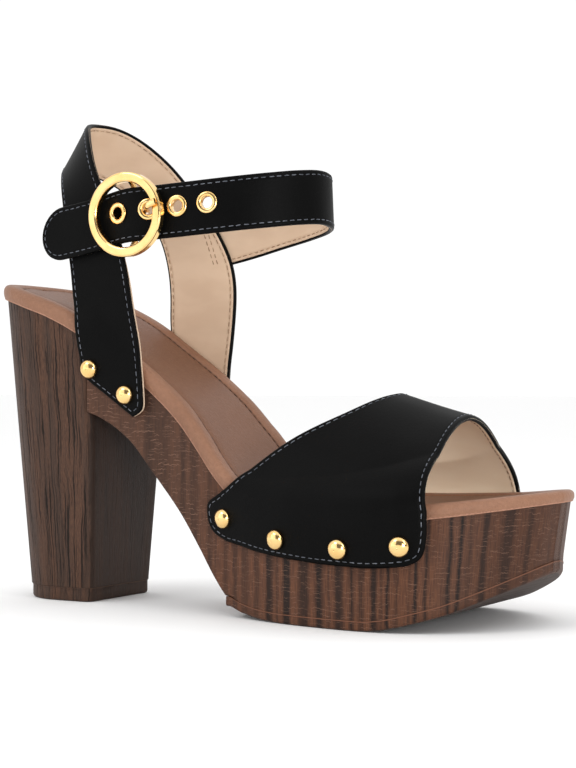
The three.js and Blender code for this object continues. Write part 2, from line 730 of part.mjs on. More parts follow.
// Place and directions on the strap's route, a distance from its tip.
// out points away from the leg, on runs towards the seam, and up is the width.
function strapFrame(distance) {
  const t = strapRoute.getUtoTmapping(distance / STRAP_LENGTH);
  const on = strapRoute.getTangent(t);
  on.z = 0;
  on.normalize();
  const out = new THREE.Vector3(on.y, -on.x, 0);
  const up = new THREE.Vector3(0, 0, 1).addScaledVector(out, -strapLean.getPoint(t).x).normalize();
  return { place: strapRoute.getPoint(t), on, out, up };
}

const EYE_RADIUS = BAR_RADIUS + GAP + PRONG_RADIUS;
const EYE_REACH = EYE_RADIUS + PRONG_RADIUS - BAR_SINK;
const RING_INSIDE = BUCKLE_WIDTH / 2 - BUCKLE_RIM;

// The strap rises over the bar and comes back inside the ring.
function strapHump(fromBuckle) {
  const share = Math.min(Math.abs(fromBuckle) / RING_INSIDE, 1);
  return (EYE_REACH + GAP) * Math.cos((share * Math.PI) / 2) ** 2;
}

// The tip is a half circle as wide as the strap.
function strapHalf(distance) {
  const half = STRAP_WIDTH / 2;
  const share = Math.min(distance / half, 1);
  return half * Math.sqrt(1 - (1 - share) ** 2);
}

function strapStations() {
  const half = STRAP_WIDTH / 2;
  const tip = [0.02, 0.09, 0.22, 0.42, 0.7].map((share) => share * half);
  const steps = 50;
  const rest = Array.from({ length: steps + 1 }, (_, i) => {
    return THREE.MathUtils.lerp(half, STRAP_LENGTH, i / steps);
  });
  return [...tip, ...rest];
}

function strapGrid() {
  const columns = 3;
  return strapStations().map((distance) => {
    const { place, out, up } = strapFrame(distance);
    const middle = place.clone().addScaledVector(out, strapHump(distance - BUCKLE_AT));
    const half = strapHalf(distance);
    return Array.from({ length: columns + 1 }, (_, j) => {
      return middle.clone().addScaledVector(up, half * (1 - (2 * j) / columns));
    });
  });
}

function ankleCentre(p) {
  return new THREE.Vector3(SLING_BACK + ANKLE_REACH / 2, 0, p.z);
}

function eyeletPlaces() {
  const first = BUCKLE_AT - EYELET_BACK;
  return Array.from({ length: EYELET_COUNT }, (_, k) => first + k * EYELET_PITCH);
}

// An eyelet's pose on the strap's inner face: local Z points out of the strap.
function strapPose(distance) {
  const step = 0.5;
  const at = (d) => {
    const { place, out } = strapFrame(d);
    return place.addScaledVector(out, strapHump(d - BUCKLE_AT));
  };
  const on = at(distance + step).sub(at(distance - step)).normalize();
  const { up } = strapFrame(distance);
  const out = new THREE.Vector3().crossVectors(on, up).normalize();
  const across = new THREE.Vector3().crossVectors(out, on);
  const place = at(distance).addScaledVector(up, EYELET_LIFT);
  return new THREE.Matrix4().makeBasis(on, across, out).setPosition(place);
}

function makeAnkleUpper() {
  const sling = sheet(slingGrid(), UPPER_WALL, ankleCentre);
  const strap = sheet(strapGrid(), UPPER_WALL, ankleCentre);
  const bore = EYELET_BARREL / 2 + GAP;
  const holes = eyeletPlaces().map((distance) => {
    const hole = new THREE.CylinderGeometry(bore, bore, 4 * UPPER_WALL, 14).rotateX(Math.PI / 2);
    return hole.applyMatrix4(strapPose(distance));
  });
  const pins = studRows("sling").map((stud) => placeStud(pinTool(), stud));
  return join(cut(sling, pins), cut(strap, holes));
}

function makeEyelet(distance) {
  const bore = EYELET_BORE / 2;
  const barrel = EYELET_BARREL / 2;
  const lip = EYELET_WIDTH / 2;
  const low = UPPER_WALL + GAP;
  const high = low + EYELET_LIP;
  const profile = [
    [bore, 0],
    [barrel, 0],
    [barrel, low],
    [lip, low],
    [lip, low + EYELET_LIP * 0.4],
    [(lip + barrel) / 2, high],
    [(bore + barrel) / 2, high],
    [bore, low + EYELET_LIP * 0.5],
  ];
  return lathe(profile, 14).rotateX(Math.PI / 2).applyMatrix4(strapPose(distance));
}

// A ring turned round Y from a closed profile of [radius, height].
function lathe(profile, segments) {
  const closed = [...profile, profile[0]].map(([r, h]) => new THREE.Vector2(r, h));
  return new THREE.LatheGeometry(closed, segments);
}

// The buckle's own pose: its back lies just over the strap, its face looks out.
function bucklePose() {
  const { place, on, out, up } = strapFrame(BUCKLE_AT);
  return new THREE.Matrix4().makeBasis(on, up, out).setPosition(place);
}

function tube(points, radius, steps, sides) {
  const path = new THREE.CatmullRomCurve3(points.map(([x, y, z]) => new THREE.Vector3(x, y, z)));
  const rings = Array.from({ length: steps + 1 }, (_, i) => {
    const centre = path.getPointAt(i / steps);
    const tangent = path.getTangentAt(i / steps);
    const flat = Math.abs(tangent.y) > 0.5 ? new THREE.Vector3(1, 0, 0) : new THREE.Vector3(0, 1, 0);
    const first = flat.addScaledVector(tangent, -flat.dot(tangent)).normalize();
    const second = new THREE.Vector3().crossVectors(tangent, first);
    return Array.from({ length: sides }, (_, k) => {
      const angle = (2 * Math.PI * (k + 0.5)) / sides;
      const spoke = first.clone().multiplyScalar(Math.cos(angle)).addScaledVector(second, Math.sin(angle));
      return centre.clone().addScaledVector(spoke, radius);
    });
  });
  return loft(rings);
}

function makeBuckleFrame() {
  const outside = BUCKLE_WIDTH / 2;
  const low = UPPER_WALL + GAP + FACET_SLACK;
  const high = low + BUCKLE_DEPTH;
  const edge = BUCKLE_BREAK;
  const profile = [
    [RING_INSIDE, low + edge],
    [RING_INSIDE + edge, low],
    [outside - edge, low],
    [outside, low + edge],
    [outside, high - edge],
    [outside - edge, high],
    [RING_INSIDE + edge, high],
    [RING_INSIDE, high - edge],
  ];
  const ring = lathe(profile, 36).rotateX(Math.PI / 2);
  const root = outside - BUCKLE_RIM / 2;
  const seat = low + BAR_RADIUS;
  const knee = THREE.MathUtils.lerp(-BAR_SINK, seat, 0.38);
  const half = [[root, seat], [root * 0.85, knee], [root * 0.62, -BAR_SINK], [root * 0.45, -BAR_SINK]];
  const path = [...half.map(([y, z]) => [0, -y, z]), ...half.reverse().map(([y, z]) => [0, y, z])];
  return join(ring, tube(path, BAR_RADIUS, 14, 8)).applyMatrix4(bucklePose());
}

function makeBuckleProng() {
  const second = eyeletPlaces()[1] - BUCKLE_AT;
  const rimMiddle = BUCKLE_WIDTH / 2 - BUCKLE_RIM / 2;
  const rest = UPPER_WALL + GAP + FACET_SLACK + BUCKLE_DEPTH + GAP + PRONG_RADIUS;
  const eye = new THREE.TorusGeometry(EYE_RADIUS, PRONG_RADIUS, 8, 16);
  eye.rotateX(Math.PI / 2).translate(0, EYELET_LIFT, -BAR_SINK);
  const { lerp } = THREE.MathUtils;
  const line = PRONG_LINE.map(({ reach, aside, rise }) => [
    reach < 1 ? second * reach : lerp(second, rimMiddle, reach - 1),
    lerp(EYELET_LIFT, PRONG_TIP, aside),
    lerp(-BAR_SINK, rest, rise),
  ]);
  const pin = tube([[EYE_RADIUS, EYELET_LIFT, -BAR_SINK], ...line], PRONG_RADIUS, 16, 8);
  return join(eye, pin).applyMatrix4(bucklePose());
}

// The leather loop that holds the bar, with a slot for the prong's eye.
function makeBuckleTab() {
  const reach = BAR_RADIUS + GAP + TAB_THICK / 2;
  const steps = 8;
  const turn = Array.from({ length: steps + 1 }, (_, i) => {
    const angle = (i / steps - 0.5) * Math.PI;
    return [reach * Math.cos(angle), -BAR_SINK + reach * Math.sin(angle)];
  });
  const sunk = (x) => [x, -TAB_SINK + TAB_SLANT * (x + TAB_TAIL / 2)];
  const path = [sunk(-TAB_TAIL), sunk(-TAB_TAIL / 2), ...turn, [-1.7 * reach, -BAR_SINK + 0.72 * reach]];
  const rings = path.map(([x, z], i) => {
    const before = path[Math.max(i - 1, 0)];
    const after = path[Math.min(i + 1, path.length - 1)];
    const side = new THREE.Vector2(before[1] - after[1], after[0] - before[0]).normalize();
    const shift = side.multiplyScalar(TAB_THICK / 2);
    const high = TAB_HEIGHT / 2;
    return [
      new THREE.Vector3(x + shift.x, high, z + shift.y),
      new THREE.Vector3(x + shift.x, -high, z + shift.y),
      new THREE.Vector3(x - shift.x, -high, z - shift.y),
      new THREE.Vector3(x - shift.x, high, z - shift.y),
    ];
  });
  const slotHigh = 2 * (PRONG_RADIUS + 2 * GAP);
  const slotLong = 4 * reach;
  const slot = new THREE.BoxGeometry(slotLong, slotHigh, 4 * reach);
  slot.translate(slotLong / 2 - 1.6 * reach, EYELET_LIFT, -BAR_SINK);
  return cut(loft(rings), [slot]).applyMatrix4(bucklePose());
}

// The two lists of studs, with their place and outward direction on the wall.
function studRows(kind) {
  const vampSpots = VAMP_STUDS.map((row) => [alongX(row.along), VAMP_BASE * row.rise]);
  const slingSpots = SLING_STUDS.map((row) => anklePoint(row.reach, 0, row.tall)).map((p) => [p.x, p.z]);
  const spots = kind === "vamp" ? vampSpots : slingSpots;
  return SIDES.flatMap((side) => spots.map(([x, z], i) => {
    const slope = bodyWidth(side, x + 1) - bodyWidth(side, x - 1);
    const flare = (RIM_OVER + FACET_SLACK) / FOOT_FLARE;
    const out = new THREE.Vector3(-slope, 2 * sideSign(side), -2 * flare).normalize();
    const place = new THREE.Vector3(x, sideSign(side) * hugWidth(side, x, z), z);
    return { name: `stud_${kind}_${side}_${i + 1}`, place, out };
  }));
}

function allStuds() {
  return [...studRows("vamp"), ...studRows("sling")];
}

function placeStud(geometry, { place, out }) {
  const turn = new THREE.Quaternion().setFromUnitVectors(new THREE.Vector3(0, 1, 0), out);
  return geometry.applyQuaternion(turn).translate(place.x, place.y, place.z);
}

function pinTool() {
  const bore = PIN_RADIUS + GAP;
  const deep = PIN_DEPTH + GAP;
  const high = 3 * UPPER_WALL;
  return new THREE.CylinderGeometry(bore, bore, deep + high, 8).translate(0, (high - deep) / 2, 0);
}

function makeStud(stud) {
  const foot = UPPER_WALL + FACET_SLACK + GAP / 2;
  const half = STUD_WIDTH / 2;
  const profile = [
    [0, -PIN_DEPTH],
    [PIN_RADIUS, -PIN_DEPTH],
    [PIN_RADIUS, foot],
    [half, foot],
    [half * 0.97, foot + STUD_RISE * 0.3],
    [half * 0.78, foot + STUD_RISE * 0.68],
    [half * 0.42, foot + STUD_RISE * 0.93],
    [0, foot + STUD_RISE],
  ].map(([r, h]) => new THREE.Vector2(r, h));
  return placeStud(new THREE.LatheGeometry(profile, 10), stud);
}

function finish(color, roughness, metalness) {
  return new THREE.MeshStandardMaterial({ color, roughness, metalness, flatShading: true });
}

const FINISHES = {
  wood: () => finish(0x5c3c2d, 0.5, 0),
  heelWood: () => finish(0x4a3b33, 0.6, 0),
  tread: () => finish(0x3d2a20, 0.8, 0),
  tan: () => finish(0x8c644e, 0.5, 0),
  black: () => finish(0x17171a, 0.35, 0),
  gold: () => finish(0xd8c48e, 0.2, 1),
};

const shoe = new THREE.Group();
shoe.name = "platform_shoe";

function addNode(name, geometry, look) {
  const mesh = new THREE.Mesh(geometry, FINISHES[look]());
  mesh.name = name;
  shoe.add(mesh);
}

addNode("platform", makePlatform(), "wood");
addNode("outsole", makeOutsole(), "tread");
addNode("heel", makeHeel(), "heelWood");
addNode("heel_tip", makeHeelTip(), "tread");
addNode("insole", makeInsole(), "tan");
addNode("vamp", makeVamp(), "black");
addNode("ankle_upper", makeAnkleUpper(), "black");
addNode("buckle_frame", makeBuckleFrame(), "gold");
addNode("buckle_prong", makeBuckleProng(), "gold");
addNode("buckle_tab", makeBuckleTab(), "black");
eyeletPlaces().forEach((distance, k) => addNode(`eyelet_${k + 1}`, makeEyelet(distance), "gold"));
allStuds().forEach((stud) => addNode(stud.name, makeStud(stud), "gold"));

export default shoe;
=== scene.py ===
"""Looks of a right platform sandal: wood-look sole and heel, leather upper, gold fittings.

Tables and sizes are in millimetres or in shares of named sizes, as in the part's source.
They become metres where a mesh is made. +X points to the toe, -Y to the outer side, +Z up.
"""

import logging
import math
from collections.abc import Callable, Sequence
from dataclasses import dataclass, field
from enum import Enum

import bpy
import numpy as np
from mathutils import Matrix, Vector
from mathutils.bvhtree import BVHTree
from mathutils.kdtree import KDTree


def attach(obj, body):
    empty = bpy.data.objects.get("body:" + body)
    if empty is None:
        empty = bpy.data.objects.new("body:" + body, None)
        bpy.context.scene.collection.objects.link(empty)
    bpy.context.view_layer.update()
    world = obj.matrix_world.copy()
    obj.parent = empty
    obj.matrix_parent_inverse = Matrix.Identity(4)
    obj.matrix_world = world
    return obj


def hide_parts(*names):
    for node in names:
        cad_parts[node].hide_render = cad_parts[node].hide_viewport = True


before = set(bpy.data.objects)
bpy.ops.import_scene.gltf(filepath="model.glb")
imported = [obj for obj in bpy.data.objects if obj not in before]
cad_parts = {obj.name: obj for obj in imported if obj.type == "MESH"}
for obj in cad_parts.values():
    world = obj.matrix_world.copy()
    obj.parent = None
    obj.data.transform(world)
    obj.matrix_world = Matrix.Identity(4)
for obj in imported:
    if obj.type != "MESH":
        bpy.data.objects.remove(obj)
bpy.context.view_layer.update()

log = logging.getLogger("sandal")

MM = 0.001
Array = np.ndarray
Height = Callable[[Array], Array]

# Sole
SOLE_LENGTH = 228.0
HEEL_SET = 31.6
BALL_WIDTH = 86.0
SEAT_RISE = 115.0
BALL_RISE = 36.0
TOE_SPRING = 21.3
TOE_LEAN = 2.8
RIM_THICK = 5.0
RIM_OVER = 1.2
RIM_ROUND = 1.3
EDGE_BREAK = 1.2
GAP = 0.3
FACET_SLACK = 0.4
# Where lengths along the inner side start, so that both sides lie in one flow.
INNER_START = 400.0

# Upper
UPPER_WALL = 2.0
VAMP_BASE = 40.0
VAMP_CROWN = 60.0
VAMP_DROP = 19.0
VAMP_TUCK = 2.1
FOOT_FLARE = 13.0
ANKLE_BACK = -11.0
ANKLE_REACH = 116.0
ANKLE_HALF = 28.0
ANKLE_FOOT = 80.0
ANKLE_TALL = 101.0
STRAP_WIDTH = 19.4

# Edges of the bands: how finely they are measured, how thin the turned leather is and how
# far in it reaches, how wide it rounds, and the height at which the lining is tucked in.
EDGE_SPLIT = 4
TURN_THIN = 0.06
TURN_WIDE = (0.8, 1.3)
EDGE_ROUND = 0.7
WALL_MIDDLE = 1.06
# Half width of the dent along a seam.
SEAM_PRESS = 0.9

# One stitch: place along it, then its height and its thickness as shares of the radius.
STITCH = np.array([
    (0.0, -0.5, 0.45), (0.12, 0.35, 0.95), (0.5, 0.6, 1.0), (0.88, 0.35, 0.95), (1.0, -0.5, 0.45),
])
STITCH_SIDES = 6
STITCH_DRIFT = 0.2
STITCH_SKEW = 0.12

# Columns: along, outer half width, inner half width.
OUTLINE = np.array([
    (0.0, 0.02, 0.02), (0.011, 0.138, 0.134), (0.033, 0.228, 0.222), (0.068, 0.295, 0.286),
    (0.12, 0.327, 0.316), (0.225, 0.325, 0.308), (0.31, 0.315, 0.292), (0.4, 0.32, 0.291),
    (0.49, 0.36, 0.326), (0.58, 0.426, 0.396), (0.665, 0.477, 0.459), (0.745, 0.5, 0.488),
    (0.81, 0.492, 0.488), (0.87, 0.445, 0.452), (0.92, 0.36, 0.388), (0.96, 0.243, 0.295),
    (0.988, 0.118, 0.165), (1.0, 0.02, 0.05),
])

# Columns: along, share of the rise from the ball to the seat.
SEAT_LINE = np.array([
    (0.0, 1.0), (0.055, 0.975), (0.108, 0.933), (0.145, 0.897), (0.203, 0.82), (0.27, 0.7),
    (0.345, 0.549), (0.397, 0.422), (0.443, 0.275), (0.472, 0.178), (0.5, 0.104), (0.525, 0.058),
    (0.56, 0.022), (0.62, 0.003), (0.71, 0.0), (0.8, 0.009), (0.86, 0.023), (0.9, 0.037),
    (0.95, 0.057), (1.0, 0.078),
])

# Columns: along, share of the toe's spring.
TREAD_LINE = np.array([
    (0.507, 0.174), (0.535, 0.087), (0.577, 0.019), (0.615, 0.0), (0.755, 0.0), (0.785, 0.03),
    (0.828, 0.14), (0.875, 0.29), (0.917, 0.49), (0.956, 0.705), (0.982, 0.873), (1.0, 1.0),
])

# Columns: along, share of the shank's depth.
SHANK_LINE = np.array([
    (0.228, 0.75), (0.25, 0.71), (0.278, 0.69), (0.303, 0.7), (0.354, 0.817), (0.404, 0.905),
    (0.455, 0.98), (0.504, 1.05),
])

# Columns: along, share of the rim's thickness.
RIM_LINE = np.array([(0.0, 1.0), (0.78, 0.95), (0.9, 0.82), (1.0, 0.7)])

# Columns: share of the half width, share of the crown's height, then the back edge, the
# outer front edge and the inner front edge as places along the sole.
VAMP_ARCH = np.array([
    (1.0, 0.0, 0.472, 0.86, 0.85), (0.97, 0.1, 0.517, 0.858, 0.847),
    (0.9, 0.25, 0.567, 0.856, 0.845), (0.82, 0.4, 0.604, 0.854, 0.844),
    (0.735, 0.52, 0.632, 0.853, 0.844), (0.62, 0.65, 0.661, 0.852, 0.845),
    (0.475, 0.78, 0.688, 0.85, 0.846), (0.33, 0.885, 0.707, 0.849, 0.847),
    (0.17, 0.963, 0.721, 0.848, 0.848), (0.0, 1.0, 0.728, 0.848, 0.848),
])

# Columns: share of the drop, back edge, outer front edge, inner front edge.
VAMP_FOOT = np.array([
    (1.0, 0.512, 0.832, 0.822), (0.93, 0.491, 0.845, 0.835), (0.8, 0.479, 0.854, 0.844),
    (0.55, 0.471, 0.858, 0.848), (0.33, 0.47, 0.86, 0.85), (0.12, 0.471, 0.86, 0.85),
])

# Columns: along, how deep the lower edge hangs.
VAMP_HEM = np.array([
    (0.47, 0.64), (0.515, 0.7), (0.577, 0.84), (0.65, 0.93), (0.77, 1.0), (0.86, 0.9),
])

# Columns: along, height of the crown line.
VAMP_RIDGE = np.array([
    (0.47, 1.0), (0.52, 0.95), (0.568, 0.883), (0.604, 0.8), (0.645, 0.717), (0.68, 0.658),
    (0.735, 0.595), (0.797, 0.525), (0.86, 0.462),
])

# Front edge x, y, z, then back edge x, y, z, from the outer foot round the heel.
SLING = np.array([
    (0.452, -0.8, -0.105, 0.285, -0.8, 0.025), (0.49, -0.8, -0.08, 0.268, -0.8, 0.05),
    (0.496, -0.8, -0.02, 0.26, -0.8, 0.1), (0.488, -0.93, 0.08, 0.252, -0.93, 0.155),
    (0.465, -0.98, 0.23, 0.242, -0.98, 0.23), (0.446, -0.98, 0.35, 0.227, -0.97, 0.33),
    (0.424, -0.975, 0.465, 0.212, -0.95, 0.445), (0.386, -0.975, 0.595, 0.19, -0.93, 0.555),
    (0.336, -0.96, 0.72, 0.172, -0.87, 0.653), (0.294, -0.89, 0.81, 0.145, -0.75, 0.721),
    (0.254, -0.74, 0.887, 0.111, -0.56, 0.77), (0.21, -0.52, 0.945, 0.077, -0.35, 0.798),
    (0.168, -0.26, 0.977, 0.055, -0.15, 0.81), (0.153, 0.02, 0.989, 0.048, 0.05, 0.812),
    (0.176, 0.29, 0.985, 0.056, 0.25, 0.81), (0.219, 0.51, 0.952, 0.073, 0.45, 0.8),
    (0.272, 0.68, 0.895, 0.11, 0.61, 0.772), (0.33, 0.8, 0.82, 0.152, 0.73, 0.726),
    (0.395, 0.88, 0.718, 0.196, 0.83, 0.661), (0.464, 0.93, 0.6, 0.237, 0.9, 0.58),
    (0.517, 0.945, 0.48, 0.263, 0.93, 0.485), (0.535, 0.945, 0.366, 0.276, 0.94, 0.376),
    (0.53, 0.935, 0.228, 0.276, 0.94, 0.257), (0.517, 0.91, 0.08, 0.275, 0.93, 0.145),
    (0.509, 0.8, -0.02, 0.277, 0.8, 0.085), (0.499, 0.8, -0.08, 0.286, 0.8, 0.04),
    (0.468, 0.8, -0.105, 0.304, 0.8, 0.016),
])

# Middle line of the strap from its free tip: x, y, z, lean towards the leg.
STRAP = np.array([
    (0.12, -1.04, 0.545, 0.0), (0.198, -1.06, 0.557, 0.0), (0.267, -1.08, 0.568, 0.0),
    (0.328, -1.09, 0.58, 0.0), (0.405, -1.095, 0.597, 0.0), (0.466, -1.09, 0.608, 0.0),
    (0.526, -1.07, 0.613, 0.0), (0.586, -1.035, 0.618, 0.01), (0.64, -1.0, 0.622, 0.02),
    (0.72, -0.94, 0.629, 0.03), (0.819, -0.82, 0.639, 0.04), (0.9, -0.62, 0.65, 0.04),
    (0.955, -0.35, 0.661, 0.04), (0.982, -0.036, 0.667, 0.04), (0.972, 0.28, 0.66, 0.04),
    (0.92, 0.57, 0.649, 0.04), (0.828, 0.78, 0.632, 0.03), (0.718, 0.91, 0.61, 0.02),
    (0.608, 0.985, 0.584, 0.01), (0.52, 1.005, 0.564, 0.0), (0.42, 1.0, 0.547, 0.0),
])

# Studs: along and height in millimetres for the vamp; reach and tall shares for the sling.
VAMP_STUDS = ((0.509, 34.8), (0.619, 29.08), (0.73, 27.32), (0.823, 29.0))
SLING_STUDS = ((0.298, 0.0676), (0.4317, -0.0246))


class Side(Enum):
    """The two sides of the shoe, with the sign of Y."""

    OUTER = -1
    INNER = 1


def along_x(share: Array | float) -> Array | float:
    """The x of a share of the sole's length."""
    return share * SOLE_LENGTH - HEEL_SET


def ease(x: Array | float, low: float, high: float) -> Array:
    """A smooth step from 0 at low to 1 at high."""
    t = np.clip((np.asarray(x, float) - low) / (high - low), 0, 1)
    return t * t * (3 - 2 * t)


class Profile:
    """A smooth curve over the sole's length through a short table, with no overshoot."""

    def __init__(self, table: Array, column: int = 1) -> None:
        """Works out the slopes at the table's rows.

        Args:
            table: rows that start with their place along the sole.
            column: the column that the curve follows.
        """
        self.along, self.values = table[:, 0], table[:, column]
        chord = np.diff(self.values) / np.diff(self.along)
        before, after = chord[:-1], chord[1:]
        total = np.where(before * after > 0, before + after, 1)
        inner = np.where(before * after > 0, 2 * before * after / total, 0)
        self.slopes = np.concatenate([chord[:1], inner, chord[-1:]])

    def __call__(self, x: Array | float) -> Array:
        """The curve's value at x, in millimetres from the heel's middle."""
        share = (np.asarray(x, float) + HEEL_SET) / SOLE_LENGTH
        share = np.clip(share, self.along[0], self.along[-1])
        i = np.clip(np.searchsorted(self.along, share) - 1, 0, len(self.along) - 2)
        span = self.along[i + 1] - self.along[i]
        t = (share - self.along[i]) / span
        rest = 1 - t
        ends = self.values[i] * rest**2 * (1 + 2 * t) + self.values[i + 1] * t**2 * (1 + 2 * rest)
        return ends + span * t * rest * (self.slopes[i] * rest - self.slopes[i + 1] * t)


HALF = {Side.OUTER: Profile(OUTLINE, 1), Side.INNER: Profile(OUTLINE, 2)}
SEAT, TREAD, SHANK = Profile(SEAT_LINE), Profile(TREAD_LINE), Profile(SHANK_LINE)
RIM, HEM, RIDGE = Profile(RIM_LINE), Profile(VAMP_HEM), Profile(VAMP_RIDGE)


def half_width(side: Side, x: Array | float) -> Array:
    """Half width of the insole on one side."""
    return BALL_WIDTH * HALF[side](x)


def body_width(side: Side, x: Array | float) -> Array:
    """Half width of the platform, the shank and the heel's top."""
    return half_width(side, x) - RIM_OVER


def seat_z(x: Array | float) -> Array:
    """Height of the insole's underside."""
    return BALL_RISE + (SEAT_RISE - BALL_RISE) * SEAT(x)


def upright(x: Array | float, thickness: Array | float) -> Array:
    """A thickness square to the insole, measured upright."""
    slope = (seat_z(np.asarray(x) + 1) - seat_z(np.asarray(x) - 1)) / 2
    return thickness * np.hypot(1, slope)


def spline(points: Array, t: Array, even: bool = False) -> Array:
    """Places on the Catmull-Rom curve through points, along their first axis.

    Args:
        points: rows of points, or rows of rows of points.
        t: places from 0 to 1.
        even: True gives each span the same weight, whatever its length.

    Returns:
        One row for each place.
    """
    count = len(points)
    place = np.clip(t, 0, 1) * (count - 1)
    i = np.minimum(place.astype(int), count - 2)
    weight = (place - i).reshape((-1,) + (1,) * (points.ndim - 1))
    ends = 2 * points[:1] - points[1:2], 2 * points[-1:] - points[-2:-1]
    padded = np.concatenate([ends[0], points, ends[1]])
    p0, p1, p2, p3 = (padded[i + k] for k in range(4))
    if even:
        m1, m2 = (p2 - p0) / 2, (p3 - p1) / 2
    else:
        d0, d1, d2 = (
            np.maximum(np.sum((b - a) ** 2, -1, keepdims=True) ** 0.25, 1e-4)
            for a, b in ((p0, p1), (p1, p2), (p2, p3))
        )
        m1 = ((p1 - p0) / d0 - (p2 - p0) / (d0 + d1) + (p2 - p1) / d1) * d1
        m2 = ((p2 - p1) / d1 - (p3 - p1) / (d1 + d2) + (p3 - p2) / d2) * d1
    w2, w3 = weight**2, weight**3
    start, end = 2 * w3 - 3 * w2 + 1, 3 * w2 - 2 * w3
    return start * p1 + end * p2 + (w3 - 2 * w2 + weight) * m1 + (w3 - w2) * m2


def spaced(count: int, near: Sequence[float]) -> Array:
    """Shares from 0 to 1, with more near both ends.

    Args:
        count: how many even steps.
        near: extra shares close to 0, mirrored close to 1.
    """
    even = np.linspace(0, 1, count + 1)
    near = np.array(near)
    return np.unique(np.concatenate([even, near, 1 - near]))


def unit(vectors: Array) -> Array:
    """The vectors at length 1."""
    return vectors / np.maximum(np.linalg.norm(vectors, axis=-1, keepdims=True), 1e-12)


def arc_length(points: Array) -> Array:
    """Length along a line of points, at each point."""
    steps = np.linalg.norm(np.diff(points, axis=0), axis=-1)
    return np.concatenate([[0], np.cumsum(steps)])


def grid_faces(rows: int, columns: int) -> Array:
    """Four-sided faces of a grid of rows times columns points."""
    i, j = np.meshgrid(np.arange(rows - 1), np.arange(columns - 1), indexing="ij")
    a = (i * columns + j).ravel()
    return np.stack([a, a + 1, a + columns + 1, a + columns], 1)


def ring_faces(rings: int, count: int) -> Array:
    """Faces that join rings of count points each."""
    i, j = np.meshgrid(np.arange(rings - 1), np.arange(count), indexing="ij")
    a, b = (i * count + j).ravel(), (i * count + (j + 1) % count).ravel()
    return np.stack([a, b, b + count, a + count], 1)


def grid_border(rows: int, columns: int) -> Array:
    """Indices of a grid's border, once round."""
    index = np.arange(rows * columns).reshape(rows, columns)
    return np.concatenate([index[0, :-1], index[:-1, -1], index[-1, :0:-1], index[:0:-1, 0]])


def volume_of(points: Array, faces: Array) -> float:
    """Signed volume of a closed mesh of four-sided faces."""
    a, b, c, d = (points[faces[:, k]] for k in range(4))
    return float(np.sum(np.cross(a, b) * c) + np.sum(np.cross(a, c) * d)) / 6


def make_piece(
    name: str,
    points: Array,
    faces: Array,
    flow: Array | None = None,
    sharp: float = 180.0,
    **marks: Array,
) -> bpy.types.Object:
    """A smooth mesh object from points in millimetres.

    Args:
        name: the piece's name.
        points: one row for each vertex.
        faces: four-sided faces.
        flow: lengths along and across the surface, kept as the UV map.
        sharp: edges over this angle in degrees stay sharp.
        marks: numbers at the points, kept as attributes by name.

    Returns:
        The linked object.
    """
    if volume_of(points, faces) < 0:
        faces = faces[:, ::-1]
    mesh = bpy.data.meshes.new(name)
    mesh.from_pydata((points * MM).tolist(), [], faces.tolist())
    mesh.polygons.foreach_set("use_smooth", np.ones(len(mesh.polygons), bool))
    if flow is not None:
        corners = np.zeros(len(mesh.loops), np.int32)
        mesh.loops.foreach_get("vertex_index", corners)
        layer = mesh.uv_layers.new(name="flow")
        layer.data.foreach_set("uv", (flow[corners] * MM).astype(np.float32).ravel())
    for key, values in marks.items():
        kept = mesh.attributes.new(key, "FLOAT", "POINT")
        kept.data.foreach_set("value", np.asarray(values, np.float32).ravel())
    mesh.validate()
    if sharp < 180:
        mesh.set_sharp_from_angle(angle=math.radians(sharp))
    piece = bpy.data.objects.new(name, mesh)
    bpy.context.scene.collection.objects.link(piece)
    return piece


def loft(rings: Array) -> Array:
    """Faces of a body through rings, each end closed by strips across.

    Args:
        rings: rings of an even count of points.
    """
    steps, count = rings.shape[:2]
    r = np.arange(count // 2 - 1)
    mate = count - 1 - r
    last = (steps - 1) * count
    first_end = np.stack([r, mate, mate - 1, r + 1], 1)
    last_end = np.stack([last + r, last + r + 1, last + mate - 1, last + mate], 1)
    return np.vstack([ring_faces(steps, count), first_end, last_end])


def make_body(
    name: str,
    rings: Array,
    flow: Array | None = None,
    sharp: float = 180.0,
    **marks: Array,
) -> bpy.types.Object:
    """A body through rings, closed at both ends.

    Args:
        name: the piece's name.
        rings: rings of an even count of points.
        flow: lengths along and across the surface at the points.
        sharp: edges over this angle in degrees stay sharp.
        marks: numbers at the points, kept as attributes by name.

    Returns:
        The linked object.
    """
    flow = None if flow is None else flow.reshape(-1, 2)
    return make_piece(name, rings.reshape(-1, 3), loft(rings), flow, sharp, **marks)


def fit(
    piece: bpy.types.Object,
    look: bpy.types.Material,
    slot: str | None,
    *nodes: str,
) -> bpy.types.Object:
    """Dresses a piece, lets it ride on the shoe and says what it stands for.

    Args:
        piece: the object.
        look: its material.
        slot: the record's material slot, or None; not used.
        nodes: the CAD nodes that it replaces.

    Returns:
        The piece.
    """
    piece.data.materials.append(look)
    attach(piece, "root")
    if nodes:
        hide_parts(*nodes)
    stands_for = list(nodes) or "itself"
    log.info("%s: %d faces, stands for %s", piece.name, len(piece.data.polygons), stands_for)
    return piece


